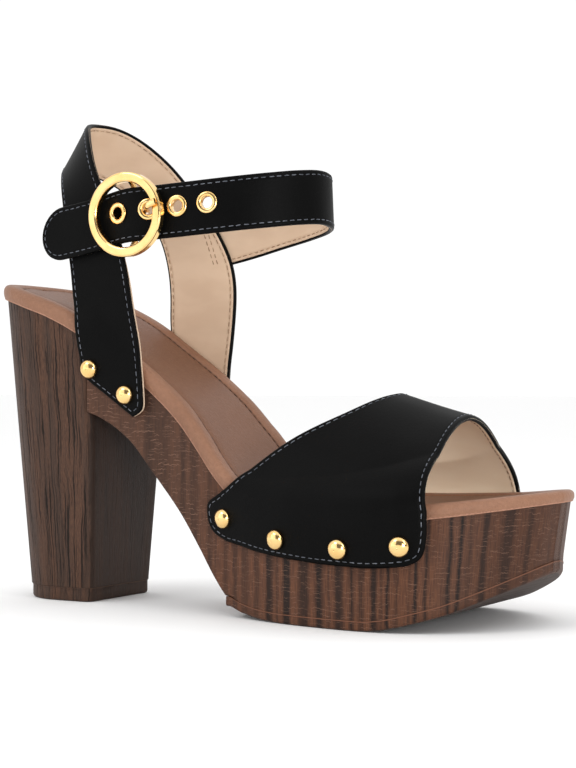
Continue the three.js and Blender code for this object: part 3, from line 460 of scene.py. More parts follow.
def lathe(profile: Array, segments: int, pose: Array) -> tuple[Array, Array]:
    """A ring or dome turned round a pose's third axis.

    Args:
        profile: closed line of radius and height.
        segments: steps round.
        pose: 4 by 4 placement.

    Returns:
        Points and faces.
    """
    turn = np.linspace(0, 2 * math.pi, segments, endpoint=False)
    radius, height = profile[:, 0], profile[:, 1]
    local = np.stack([
        np.outer(np.cos(turn), radius),
        np.outer(np.sin(turn), radius),
        np.broadcast_to(height, (segments, len(height))),
    ], -1)
    points = local.reshape(-1, 3) @ pose[:3, :3].T + pose[:3, 3]
    count = len(profile)
    i, j = np.meshgrid(np.arange(segments), np.arange(count), indexing="ij")
    ahead, up = (i + 1) % segments, (j + 1) % count
    faces = np.stack([i * count + j, ahead * count + j, ahead * count + up, i * count + up], -1)
    return points, faces.reshape(-1, 4)


def tube(path: Array, radii: Array, sides: int, flat: Array | None = None) -> Array:
    """Rings round a path.

    Args:
        path: points along the middle.
        radii: one or two radii for each point.
        sides: points round each ring.
        flat: the direction that the first radius follows.

    Returns:
        Rings of points.
    """
    tangent = unit(np.gradient(path, axis=0))
    guide = np.array([0.0, 1.0, 0.0]) if flat is None else flat
    first = unit(guide - (tangent @ guide)[:, None] * tangent)
    second = np.cross(tangent, first)
    radii = np.atleast_2d(radii) if np.ndim(radii) == 2 else np.column_stack([radii, radii])
    angle = 2 * math.pi * (np.arange(sides) + 0.5) / sides
    around = (
        np.cos(angle)[None, :, None] * first[:, None] * radii[:, :1, None]
        + np.sin(angle)[None, :, None] * second[:, None] * radii[:, 1:, None]
    )
    return path[:, None] + around


@dataclass
class Sheet:
    """A piece of leather wall on a grid of inner points."""

    grid: Array
    centre: Array
    normal: Array = field(init=False)
    edge: Array = field(init=False)
    flow: Array = field(init=False)

    def __post_init__(self) -> None:
        """Works out the outward directions, the distance to the edge and the flow."""
        du, dv = np.gradient(self.grid, axis=0), np.gradient(self.grid, axis=1)
        normal = unit(np.cross(du, dv))
        outward = np.sum(normal * (self.grid - self.centre), -1, keepdims=True)
        self.normal = np.where(outward < 0, -normal, normal)
        rows, columns = self.grid.shape[:2]
        flat = self.grid.reshape(-1, 3)
        border = flat[grid_border(rows, columns)]
        step = np.roll(border, -1, 0) - border
        fine = np.concatenate([border + step * k / EDGE_SPLIT for k in range(EDGE_SPLIT)])
        tree = KDTree(len(fine))
        for k, p in enumerate(fine):
            tree.insert(p, k)
        tree.balance()
        self.edge = np.array([tree.find(p)[2] for p in flat]).reshape(rows, columns)
        down = np.diff(self.grid, axis=0, prepend=self.grid[:1])
        over = np.diff(self.grid, axis=1, prepend=self.grid[:, :1])
        along = np.cumsum(np.linalg.norm(down, axis=-1), 0)[:, columns // 2, None]
        across = np.cumsum(np.linalg.norm(over, axis=-1), 1)
        self.flow = np.stack(np.broadcast_arrays(along, across), -1)

    def at(self, height: float | Array) -> Array:
        """The grid moved out by a height."""
        height = np.asarray(height)
        return self.grid + self.normal * (height[..., None] if height.ndim else height)

    def closed(self, name: str, middle: Array, half: Array) -> bpy.types.Object:
        """A closed wall on both sides of a middle height.

        Args:
            name: the piece's name.
            middle: height of the wall's middle at each point.
            half: half its thickness at each point.

        Returns:
            The object.
        """
        lower, upper = self.at(middle - half), self.at(middle + half)
        rows, columns = self.edge.shape
        points = np.concatenate([upper.reshape(-1, 3), lower.reshape(-1, 3)])
        top, total = grid_faces(rows, columns), rows * columns
        ring = grid_border(rows, columns)
        ahead = np.roll(ring, -1)
        sides = np.stack([ahead, ring, total + ring, total + ahead], 1)
        faces = np.vstack([top, total + top[:, ::-1], sides])
        flow = np.tile(self.flow.reshape(-1, 2), (2, 1))
        return make_piece(name, points, faces, flow, edge=np.tile(self.edge.ravel(), 2))

    def leather(self, name: str, lining: float, bare: Array) -> bpy.types.Object:
        """The outer leather, turned in round the edge of the lining.

        Args:
            name: the piece's name.
            lining: the lining's thickness.
            bare: share of the lining's edge that shows at each point.

        Returns:
            The object.
        """
        turn = TURN_THIN + (lining - TURN_THIN - 0.05) * bare
        low = turn + (lining - turn) * ease(self.edge, *TURN_WIDE)
        high = UPPER_WALL + 0.05
        swell = 0.12 + 0.88 * np.sqrt(1 - (1 - np.clip(self.edge / EDGE_ROUND, 0, 1)) ** 2)
        return self.closed(name, (low + high) / 2, (high - low) / 2 * swell)

    def lining(self, name: str, thick: float, bare: Array) -> bpy.types.Object:
        """The lining, its edge bare or tucked into the turned leather.

        Args:
            name: the piece's name.
            thick: its thickness.
            bare: share of its edge that shows at each point.

        Returns:
            The object.
        """
        middle = WALL_MIDDLE + (thick / 2 - WALL_MIDDLE) * ease(self.edge, 0.0, 0.9)
        half = 0.03 + (thick / 2 - 0.01) * ease(self.edge, 0.45, 1.0)
        shown = (thick / 2 - 0.02) * np.sqrt(np.clip(self.edge / 0.3, 0.2, 1))
        middle += (thick / 2 + 0.02 - middle) * bare
        return self.closed(name, middle, half + (shown - half) * bare)

    def tree_at(self, height: float) -> BVHTree:
        """A search tree over the surface at a height."""
        rows, columns = self.edge.shape
        points = self.at(height).reshape(-1, 3)
        return BVHTree.FromPolygons(points.tolist(), grid_faces(rows, columns).tolist())

    def edge_line(self, inset: float, height: float) -> tuple[Array, Array]:
        """A line that keeps an even distance from the edge.

        Args:
            inset: the distance from the edge.
            height: the height over the grid.

        Returns:
            The line's points and the directions out of the surface.
        """
        rows, columns = self.edge.shape
        ring = grid_border(rows, columns)
        surface = self.at(height).reshape(-1, 3)
        border, out = surface[ring], self.normal.reshape(-1, 3)[ring]
        run = unit(np.roll(border, -2, 0) - np.roll(border, 2, 0))
        inward = unit(np.cross(out, run))
        index = np.arange(rows * columns).reshape(rows, columns)
        inner = np.clip(np.stack(np.divmod(ring, columns), 1), 6, [rows - 7, columns - 7])
        target = surface[index[inner[:, 0], inner[:, 1]]] - border
        inward *= np.where(np.sum(inward * target, -1, keepdims=True) < 0, -1, 1)
        tree = self.tree_at(height)
        line = np.array([tree.find_nearest(p)[0] for p in border + inward * inset])
        gaps = np.array([np.min(np.linalg.norm(border - p, axis=1)) for p in line])
        keep = gaps > 0.93 * inset
        return line[keep], out[keep]


def sew(
    name: str,
    line: Array,
    out: Array,
    pitch: float,
    radius: float,
    seed: int,
    closed: bool = True,
    share: float = 0.68,
) -> bpy.types.Object:
    """A row of raised thread stitches along a line.

    Args:
        name: the piece's name.
        line: points of the seam.
        out: directions out of the surface at the points.
        pitch: distance from stitch to stitch.
        radius: the thread's radius.
        seed: start of the small random turns.
        closed: True where the line ends where it starts.
        share: the stitch's share of the pitch.

    Returns:
        The object.
    """
    if closed:
        line, out = np.vstack([line, line[:1]]), np.vstack([out, out[:1]])
    length = arc_length(line)
    count = max(int(length[-1] / pitch), 1)
    rng = np.random.default_rng(seed)
    drift = 0.5 * rng.uniform(0, STITCH_DRIFT, count)
    starts = (np.arange(count) + drift) * length[-1] / count
    marks = STITCH[:, 0]
    lift, thick = STITCH[:, 1] * radius, STITCH[:, 2] * radius
    at = starts[:, None] + marks[None] * pitch * share
    place = np.stack([np.interp(at, length, line[:, k]) for k in range(3)], -1)
    normal = unit(np.stack([np.interp(at, length, out[:, k]) for k in range(3)], -1))
    run = unit(np.gradient(place, axis=1))
    aside = np.cross(normal, run)
    skew = rng.normal(0, STITCH_SKEW, count)[:, None] * (marks - 0.5)[None] * radius * 4
    place = place + normal * lift[None, :, None] + aside * skew[..., None]
    sides = STITCH_SIDES
    angle = 2 * math.pi * np.arange(sides) / sides
    ring = (
        np.cos(angle)[None, None, :, None] * aside[:, :, None]
        + np.sin(angle)[None, None, :, None] * normal[:, :, None]
    )
    points = place[:, :, None] + ring * thick[None, :, None, None]
    one = ring_faces(len(marks), sides)
    last = (len(marks) - 1) * sides
    caps = np.array([(0, 3, 2, 1), (0, 5, 4, 3)])
    one = np.vstack([one, caps, last + caps[:, ::-1]])
    step = len(marks) * sides
    faces = (one[None] + step * np.arange(count)[:, None, None]).reshape(-1, 4)
    return make_piece(name, points.reshape(-1, 3), faces)


def tone(red: int, green: int, blue: int) -> tuple[float, float, float, float]:
    """A colour given in display values from 0 to 255."""
    shares = (value / 255 for value in (red, green, blue))
    linear = [s / 12.92 if s <= 0.04045 else ((s + 0.055) / 1.055) ** 2.4 for s in shares]
    return (*linear, 1.0)


class Signal:
    """A number on a shader socket, with arithmetic that adds Math nodes."""

    def __init__(self, shader: "Shader", socket: bpy.types.NodeSocket) -> None:
        """Keeps the shader and the socket."""
        self.shader, self.socket = shader, socket

    def math(self, operation: str, *values: "Signal | float") -> "Signal":
        """A Math node on values, of which this may be one."""
        inputs = dict(enumerate(values))
        return self.shader.node("ShaderNodeMath", {"operation": operation}, inputs)

    def __add__(self, other: "Signal | float") -> "Signal":
        """The sum."""
        return self.math("ADD", self, other)

    __radd__ = __add__

    def __sub__(self, other: "Signal | float") -> "Signal":
        """The difference."""
        return self.math("SUBTRACT", self, other)

    def __rsub__(self, other: "Signal | float") -> "Signal":
        """The difference, the other way round."""
        return self.math("SUBTRACT", other, self)

    def __mul__(self, other: "Signal | float") -> "Signal":
        """The product."""
        return self.math("MULTIPLY", self, other)

    __rmul__ = __mul__

    def __truediv__(self, other: "Signal | float") -> "Signal":
        """The quotient."""
        return self.math("DIVIDE", self, other)

    def __abs__(self) -> "Signal":
        """The size without its sign."""
        return self.math("ABSOLUTE", self)

    def most(self, other: "Signal | float") -> "Signal":
        """The larger of two."""
        return self.math("MAXIMUM", self, other)

    def clamp(self) -> "Signal":
        """The value kept from 0 to 1."""
        return self.math("MINIMUM", self, 1.0).most(0.0)

    def step(self, low: float, high: float) -> "Signal":
        """A smooth step from 0 at low to 1 at high, or back where low is the higher."""
        flip = low > high
        inputs = {
            "Value": self,
            "From Min": min(low, high),
            "From Max": max(low, high),
            "To Min": float(flip),
            "To Max": float(not flip),
        }
        return self.shader.node("ShaderNodeMapRange", {"interpolation_type": "SMOOTHSTEP"}, inputs)


class Shader:
    """The nodes of a material or a world."""

    def __init__(self, tree: bpy.types.NodeTree) -> None:
        """Keeps the tree."""
        self.tree = tree

    def node(
        self,
        kind: str,
        settings: dict[str, object] | None = None,
        inputs: dict[str | int, object] | None = None,
        output: str | int = 0,
    ) -> Signal:
        """Adds one node.

        Args:
            kind: the node's type.
            settings: its own settings, set first; stops are a ramp's places and colours.
            inputs: values or links of its sockets.
            output: the socket to give back.

        Returns:
            The output as a signal.
        """
        made = self.tree.nodes.new(kind)
        for key, value in (settings or {}).items():
            if key == "stops":
                self.set_stops(made.color_ramp, value)
            else:
                setattr(made, key, value)
        for key, value in (inputs or {}).items():
            self.plug(made.inputs[key], value)
        return Signal(self, made.outputs[output])

    @staticmethod
    def set_stops(ramp: bpy.types.ColorRamp, stops: Sequence[tuple[float, object]]) -> None:
        """Gives a ramp its places and colours."""
        while len(ramp.elements) < len(stops):
            ramp.elements.new(1.0)
        for element, (place, colour) in zip(ramp.elements, stops):
            element.position = place
            element.color = colour if isinstance(colour, tuple) else (colour, colour, colour, 1.0)

    def plug(self, socket: bpy.types.NodeSocket, value: object) -> None:
        """Links or sets one socket."""
        if isinstance(value, Signal):
            self.tree.links.new(value.socket, socket)
        else:
            socket.default_value = value

    def place(self, output: str = "Object") -> Signal:
        """Texture coordinates."""
        return self.node("ShaderNodeTexCoord", output=output)

    def flow(self) -> Signal:
        """Lengths along and across the surface, in millimetres."""
        return self.stretch(self.place("UV"), (1 / MM, 1 / MM, 1 / MM))

    def stretch(self, vector: Signal, scale: tuple[float, float, float]) -> Signal:
        """A vector times a scale on each axis."""
        return self.node("ShaderNodeVectorMath", {"operation": "MULTIPLY"}, {0: vector, 1: scale})

    def shift(self, vector: Signal, by: Signal | tuple[float, float, float]) -> Signal:
        """A vector moved by another."""
        return self.node("ShaderNodeVectorMath", {"operation": "ADD"}, {0: vector, 1: by})

    def split(self, vector: Signal) -> tuple[Signal, Signal, Signal]:
        """The three parts of a vector."""
        x = self.node("ShaderNodeSeparateXYZ", inputs={0: vector})
        parts = x.socket.node.outputs
        return Signal(self, parts[0]), Signal(self, parts[1]), Signal(self, parts[2])

    def join(self, x: Signal | float, y: Signal | float, z: Signal | float) -> Signal:
        """A vector from three parts."""
        return self.node("ShaderNodeCombineXYZ", inputs={0: x, 1: y, 2: z})

    def noise(
        self,
        vector: Signal,
        scale: float,
        detail: float = 3.0,
        rough: float = 0.55,
        pull: tuple[float, float, float] | None = None,
    ) -> Signal:
        """Soft noise.

        Args:
            vector: where it is read.
            scale: how fine it is.
            detail: how many finer layers it has.
            rough: how strong these are.
            pull: a scale on each axis of the vector.

        Returns:
            A value from 0 to 1.
        """
        vector = self.stretch(vector, pull) if pull else vector
        inputs = {"Vector": vector, "Scale": scale, "Detail": detail, "Roughness": rough}
        return self.node("ShaderNodeTexNoise", inputs=inputs)

    def cells(self, vector: Signal, scale: float) -> Signal:
        """Distance to the middle of the nearest cell."""
        return self.node("ShaderNodeTexVoronoi", inputs={"Vector": vector, "Scale": scale})

    def attribute(self, name: str) -> Signal:
        """A number kept on the mesh."""
        return self.node("ShaderNodeAttribute", {"attribute_name": name}, output="Fac")

    def ramp(self, factor: Signal, stops: Sequence[tuple[float, object]]) -> Signal:
        """Colours along a factor."""
        return self.node("ShaderNodeValToRGB", {"stops": stops}, {0: factor})

    def mix(self, factor: Signal | float, first: object, second: object) -> Signal:
        """One colour over another."""
        inputs = {0: factor, 6: first, 7: second}
        return self.node("ShaderNodeMix", {"data_type": "RGBA"}, inputs, 2)

    def bump(self, height: Signal, distance: float, strength: float = 1.0) -> Signal:
        """A normal from a height.

        Args:
            height: the height, from 0 to about 1.
            distance: its depth in metres at 1.
            strength: share of the effect.
        """
        inputs = {"Height": height, "Distance": distance, "Strength": strength}
        return self.node("ShaderNodeBump", inputs=inputs, output="Normal")


class Surface(Shader):
    """A material with one surface shader."""

    def __init__(self, name: str) -> None:
        """Starts the material.

        Args:
            name: the material's name.
        """
        self.material = bpy.data.materials.new(name)
        self.material.use_nodes = True
        super().__init__(self.material.node_tree)

    def finish(self, **values: object) -> bpy.types.Material:
        """Sets or links the shader's sockets, named with underscores, and gives the material."""
        sockets = self.tree.nodes["Principled BSDF"].inputs
        for key, value in values.items():
            self.plug(sockets[key.replace("_", " ")], value)
        return self.material


# In every finish below, rough is the base roughness, depth is the relief's in metres and
# gloss is the specular level.


@dataclass(frozen=True)
class Wood:
    """Printed wood on the platform, with dark upright stripes and fine level scratches."""

    light: tuple = tone(103, 66, 46)
    deep: tuple = tone(76, 49, 37)
    rear: tuple = tone(60, 47, 40)
    dark: tuple = tone(25, 21, 20)
    scratch: tuple = tone(150, 114, 95)
    line: tuple = tone(122, 82, 63)
    reach: float = 290.0
    spread: float = 1.55
    # How many stripes one ramp holds.
    batch: int = 6
    # Scratches: distance from row to row, half width and shift of the pattern.
    coarse: tuple = (1.7, 0.13, 1.0)
    faint: tuple = (1.1, 0.1, 5.0)
    # Where the wall turns grey to the rear, and where painted shade darkens it towards the toe,
    # along it.
    rear_from: tuple = (130.0, 105.0)
    toe_shade_from: tuple = (190.0, 245.0)
    # Columns: place along the sole, width in millimetres, darkness.
    stripes: tuple = (
        (0.345, 2.0, 0.45), (0.356, 1.6, 0.3), (0.373, 3.4, 0.3), (0.41, 1.6, 0.4),
        (0.432, 2.2, 0.35), (0.466, 1.8, 0.4), (0.497, 1.4, 0.45), (0.518, 1.3, 0.45),
        (0.54, 2.4, 0.4), (0.564, 1.4, 0.45), (0.5904, 2.1, 0.8), (0.607, 0.9, 0.45),
        (0.6254, 2.0, 0.85), (0.6583, 2.8, 0.72), (0.6868, 2.1, 0.85), (0.703, 0.9, 0.4),
        (0.7219, 2.3, 0.78), (0.7439, 1.2, 0.82), (0.7614, 1.2, 0.55), (0.7811, 1.2, 0.82),
        (0.7921, 0.9, 0.5), (0.8031, 1.0, 0.95), (0.8162, 0.9, 0.5), (0.8382, 0.6, 0.4),
        (0.8469, 0.9, 0.98), (0.8601, 0.6, 0.8), (0.8908, 1.0, 0.92), (0.9039, 1.1, 0.98),
        (0.9149, 1.0, 0.4), (0.9325, 1.7, 0.7), (0.9566, 2.8, 0.6), (0.978, 1.4, 0.5),
    )
    rough: float = 0.46
    depth: float = 0.0002
    gloss: float = 0.15

    def bands(self, shader: Shader, run: Signal, arc_of: Callable[[float], float]) -> Signal:
        """Darkness of the placed stripes.

        Args:
            shader: the material being made.
            run: length along the wall, in millimetres.
            arc_of: length along the wall at a place along the sole.

        Returns:
            A value from 0 to 1.
        """
        total: Signal | None = None
        for start in range(0, len(self.stripes), self.batch):
            stops = [(0.0, 0.0)]
            for along, width, dark in self.stripes[start : start + self.batch]:
                middle, half = arc_of(along) / self.reach, self.spread * width / 2 / self.reach
                stops += [(middle - 1.25 * half, 0.0), (middle - 0.75 * half, dark)]
                stops += [(middle + 0.75 * half, dark), (middle + 1.25 * half, 0.0)]
            value = shader.ramp(run / self.reach, stops)
            total = total.most(value) if total else value
        return total

    def scratches(
        self,
        shader: Shader,
        flow: Signal,
        row: float,
        thin: float,
        seed: float,
    ) -> Signal:
        """Rows of fine level scratches, a little wavy and broken.

        Args:
            shader: the material being made.
            flow: lengths along and up the wall, in millimetres.
            row: distance from row to row.
            thin: half width of a scratch.
            seed: shifts the pattern.

        Returns:
            A value from 0 to 1.
        """
        here = shader.shift(flow, (seed * 7.3, seed * 3.1, seed))
        u, v, _ = shader.split(here)
        wave = shader.noise(here, 1.0, 2.0, pull=(0.11, 0.05, 1))
        rows = (v + (wave - 0.5) * 3.4) / row
        number, place = rows.math("FLOOR", rows), rows.math("FRACT", rows)
        shake = shader.noise(shader.join(u * 0.9, number * 3.7, 0.0), 1.0, 2.0)
        off = place - 0.5 - (shake - 0.5) * 0.9
        line = abs(off).step(thin / row, 0.2 * thin / row)
        held = shader.noise(shader.join(u * 0.28, number * 5.3, 0.0), 1.0, 1.0)
        return line * held.step(0.48, 0.6)

    def make(self, name: str, arc_of: Callable[[float], float]) -> bpy.types.Material:
        """The finished material."""
        shader = Surface(name)
        flow = shader.flow()
        raw, _, _ = shader.split(flow)
        u = raw - raw.math("GREATER_THAN", raw, INNER_START - 50) * (INNER_START - 3)
        sway = shader.noise(flow, 1.0, 2.0, pull=(0.25, 0.09, 1))
        ragged = shader.noise(flow, 1.0, 3.0, 0.7, pull=(2.6, 0.7, 1))
        run = u + (sway - 0.5) * 1.8 + (ragged - 0.5) * 1.0
        placed = (self.bands(shader, run, arc_of) * (0.85 + 0.55 * ragged)).clamp()
        streaks = shader.noise(flow, 0.5, 4.0, 0.65, pull=(1, 0.02, 1))
        fine = shader.noise(flow, 2.6, 3.0, 0.65, pull=(1, 0.05, 1))
        stripe = placed.most(streaks.step(0.56, 0.68) * 0.4)
        rear = u.step(*self.rear_from)
        coarse = self.scratches(shader, flow, *self.coarse)
        lines = coarse + self.scratches(shader, flow, *self.faint) * 0.6
        lines = (lines * (0.55 + 0.45 * rear)).clamp()
        tint = shader.mix(fine.step(0.32, 0.68), self.deep, self.light)
        tint = shader.mix(rear * 0.45, tint, self.rear)
        tint = shader.mix(stripe * 0.94, tint, self.dark)
        # Painted shade: the wall darkens towards the toe, where it curves away from the light.
        tint = shader.mix(u.step(*self.toe_shade_from) * 0.4, tint, self.dark)
        tint = shader.mix(lines * 0.68, tint, self.scratch)
        tint = shader.mix(shader.attribute("lip") * 0.8, tint, self.line)
        relief = 0.5 - stripe * 0.3 + lines * 0.5 + fine * 0.3
        return shader.finish(
            Base_Color=tint,
            Roughness=self.rough + stripe * 0.1 + fine * 0.1,
            Normal=shader.bump(relief, self.depth, 0.8),
            Specular_IOR_Level=self.gloss,
        )


@dataclass(frozen=True)
class HeelGrain:
    """Deep wavy grain that runs up the heel, with painted shade on its flat front."""

    light: tuple = tone(92, 64, 49)
    body: tuple = tone(64, 45, 35)
    grey: tuple = tone(54, 44, 39)
    groove: tuple = tone(20, 17, 16)
    # Painted shade for the heel's flat front, which faces away from the light.
    breast: tuple = tone(31, 23, 19)
    line: tuple = tone(88, 66, 54)
    rough: float = 0.5
    depth: float = 0.00045
    gloss: float = 0.15

    def make(self, name: str) -> bpy.types.Material:
        """The finished material."""
        shader = Surface(name)
        flow = shader.flow()
        bend = shader.noise(flow, 1.0, 3.0, 0.6, pull=(0.2, 0.07, 1))
        u, v, w = shader.split(flow)
        bent = shader.join(u + (bend - 0.5) * 2.6, v, w)
        grooves = shader.noise(bent, 1.15, 3.0, 0.6, pull=(1, 0.018, 1))
        thin = shader.noise(bent, 2.7, 3.0, 0.6, pull=(1, 0.022, 1))
        fine = shader.noise(bent, 5.0, 3.0, 0.6, pull=(1, 0.09, 1))
        broad = shader.noise(bent, 0.2, 2.0, pull=(1, 0.04, 1))
        breast = shader.attribute("breast")
        cut = (grooves.step(0.47, 0.38) + thin.step(0.42, 0.33) * 0.6).clamp() * (1 - breast * 0.75)
        tint = shader.mix(fine.step(0.3, 0.72), self.body, self.light)
        tint = shader.mix(broad.step(0.38, 0.62) * 0.55, tint, self.grey)
        tint = shader.mix(cut * 0.88, tint, self.groove)
        # Painted shade darkens the flat front.
        tint = shader.mix(breast * 0.62, tint, self.breast)
        tint = shader.mix(shader.attribute("lip") * 0.7, tint, self.line)
        relief = 0.7 - cut * 0.6 + fine * 0.25
        return shader.finish(
            Base_Color=tint,
            Roughness=self.rough + cut * 0.2,
            Normal=shader.bump(relief, self.depth, 0.85),
            Specular_IOR_Level=self.gloss,
        )


@dataclass(frozen=True)
class Rubber:
    """Brown sole rubber with fine cross ribs."""

    colour: tuple = tone(52, 38, 31)
    dusty: tuple = tone(74, 56, 47)
    rough: float = 0.7
    depth: float = 0.0004

    def make(self, name: str) -> bpy.types.Material:
        """The finished material."""
        shader = Surface(name)
        place = shader.place()
        inputs = {"Vector": place, "Scale": 90.0, "Distortion": 0.6, "Detail": 1.0}
        ribs = shader.node("ShaderNodeTexWave", {"bands_direction": "X"}, inputs, "Fac")
        grain = shader.noise(place, 900.0)
        return shader.finish(
            Base_Color=shader.mix(grain * 0.4, self.colour, self.dusty),
            Roughness=self.rough + grain * 0.1,
            Normal=shader.bump(ribs * 0.6 + grain * 0.3, self.depth, 0.6),
        )


@dataclass(frozen=True)
class TanLeather:
    """Brown leather of the footbed, its rim and its ragged lower edge."""

    rim: tuple = tone(144, 104, 81)
    bed: tuple = tone(120, 83, 62)
    fray: tuple = tone(178, 132, 110)
    worn: tuple = tone(108, 73, 54)
    # A darker brown, used for the grain's tone and as painted shade in the sewn groove.
    shade: tuple = tone(78, 50, 37)
    fray_high: float = 2.9
    groove_at: float = 14.0
    groove_half: float = 0.8
    rough: float = 0.42
    depth: float = 0.0003
    gloss: float = 0.25

    def make(self, name: str) -> bpy.types.Material:
        """The finished material."""
        shader = Surface(name)
        place = shader.place()
        flow = shader.flow()
        _, v, _ = shader.split(flow)
        pores = shader.cells(place, 1500.0)
        grain = shader.noise(place, 700.0, 3.0)
        cloud = shader.noise(place, 28.0, 3.0)
        ragged = shader.noise(flow, 1.3, 3.0, 0.7)
        fray = (v + (ragged - 0.5) * 1.6).step(self.fray_high, self.fray_high - 0.5)
        bed = v.step(self.groove_at - 0.5, self.groove_at + 0.5)
        tint = shader.mix(bed, self.rim, self.bed)
        tint = shader.mix(cloud.step(0.35, 0.75) * 0.4, tint, self.worn)
        tint = shader.mix(grain.step(0.3, 0.62) * 0.12, tint, self.shade)
        # Painted shade darkens the sewn groove.
        groove = abs(v - self.groove_at).step(self.groove_half, 0.0)
        tint = shader.mix(groove * 0.5, tint, self.shade)
        tint = shader.mix(fray * 0.8, tint, self.fray)
        relief = grain * 0.5 + pores * 0.5 - groove * 0.6 + fray * ragged
        return shader.finish(
            Base_Color=tint,
            Roughness=self.rough + grain * 0.14 + fray * 0.3,
            Normal=shader.bump(relief, self.depth, 0.8),
            Specular_IOR_Level=self.gloss,
        )


@dataclass(frozen=True)
class BlackLeather:
    """Smooth black leather, pressed in along its seam."""

    colour: tuple = tone(6, 6, 6)
    bloom: tuple = tone(10, 10, 10)
    seam: float = 1.7
    rough: float = 0.4
    depth: float = 0.00014
    gloss: float = 0.05

    def make(self, name: str) -> bpy.types.Material:
        """The finished material."""
        shader = Surface(name)
        place = shader.place()
        edge = shader.attribute("edge")
        cells = shader.cells(place, 1900.0)
        grain = shader.noise(place, 1100.0, 3.0)
        cloud = shader.noise(place, 45.0, 3.0)
        press = abs(edge - self.seam).step(SEAM_PRESS, 0.0)
        tint = shader.mix(cloud.step(0.3, 0.7) * 0.6, self.colour, self.bloom)
        relief = grain * 0.35 + cells * 0.35 - press * 1.2 + cloud * 0.8
        return shader.finish(
            Base_Color=tint,
            Roughness=self.rough + cloud * 0.14 - edge.step(0.9, 0.2) * 0.08,
            Normal=shader.bump(relief, self.depth, 0.6),
            Specular_IOR_Level=self.gloss,
        )


@dataclass(frozen=True)
class Lining:
    """Cream lining with a faint weave and soft wrinkles."""

    colour: tuple = tone(216, 190, 164)
    warm: tuple = tone(204, 175, 148)
    # Colour of the painted shade in the dent along the seam.
    pressed: tuple = tone(176, 146, 118)
    seam: float = 2.1
    rough: float = 0.62
    depth: float = 0.00022
    gloss: float = 0.3

    def make(self, name: str) -> bpy.types.Material:
        """The finished material."""
        shader = Surface(name)
        place = shader.place()
        flow = shader.flow()
        edge = shader.attribute("edge")
        threads = shader.noise(flow, 1.2, 2.0, pull=(3.0, 0.5, 1))
        wrinkle = shader.noise(place, 60.0, 2.0, pull=(1, 1, 2.4))
        press = abs(edge - self.seam).step(SEAM_PRESS, 0.0)
        tint = shader.mix(wrinkle.step(0.35, 0.7) * 0.5, self.colour, self.warm)
        # Painted shade darkens the lining in the dent along its seam.
        tint = shader.mix(press * 0.25, tint, self.pressed)
        relief = threads * 0.25 + wrinkle * 1.2 - press * 1.0
        return shader.finish(
            Base_Color=tint,
            Roughness=self.rough + threads * 0.1,
            Normal=shader.bump(relief, self.depth, 0.55),
            Specular_IOR_Level=self.gloss,
        )


@dataclass(frozen=True)
class Gold:
    """Polished pale gold."""

    colour: tuple = tone(252, 214, 148)
    worn: tuple = tone(242, 198, 126)
    rough: float = 0.11
    depth: float = 0.000012

    def make(self, name: str) -> bpy.types.Material:
        """The finished material."""
        shader = Surface(name)
        place = shader.place()
        cloud = shader.noise(place, 160.0, 3.0)
        brush = shader.noise(place, 2400.0, 2.0)
        return shader.finish(
            Base_Color=shader.mix(cloud.step(0.35, 0.7), self.colour, self.worn),
            Metallic=1.0,
            Roughness=self.rough + cloud * 0.06,
            Normal=shader.bump(brush, self.depth, 0.4),
        )


@dataclass(frozen=True)
class Thread:
    """Twisted sewing thread."""

    colour: tuple = tone(104, 108, 116)
    dark: tuple = tone(70, 74, 82)
    rough: float = 0.7
    depth: float = 0.00008

    def make(self, name: str) -> bpy.types.Material:
        """The finished material."""
        shader = Surface(name)
        twist = shader.noise(shader.place(), 4200.0, 2.0)
        patch = shader.noise(shader.place(), 230.0, 2.0)
        tint = shader.mix(patch.step(0.4, 0.6), self.colour, self.dark)
        return shader.finish(
            Base_Color=shader.mix(twist.step(0.3, 0.7) * 0.4, tint, self.dark),
            Roughness=self.rough,
            Normal=shader.bump(twist, self.depth, 0.6),
        )


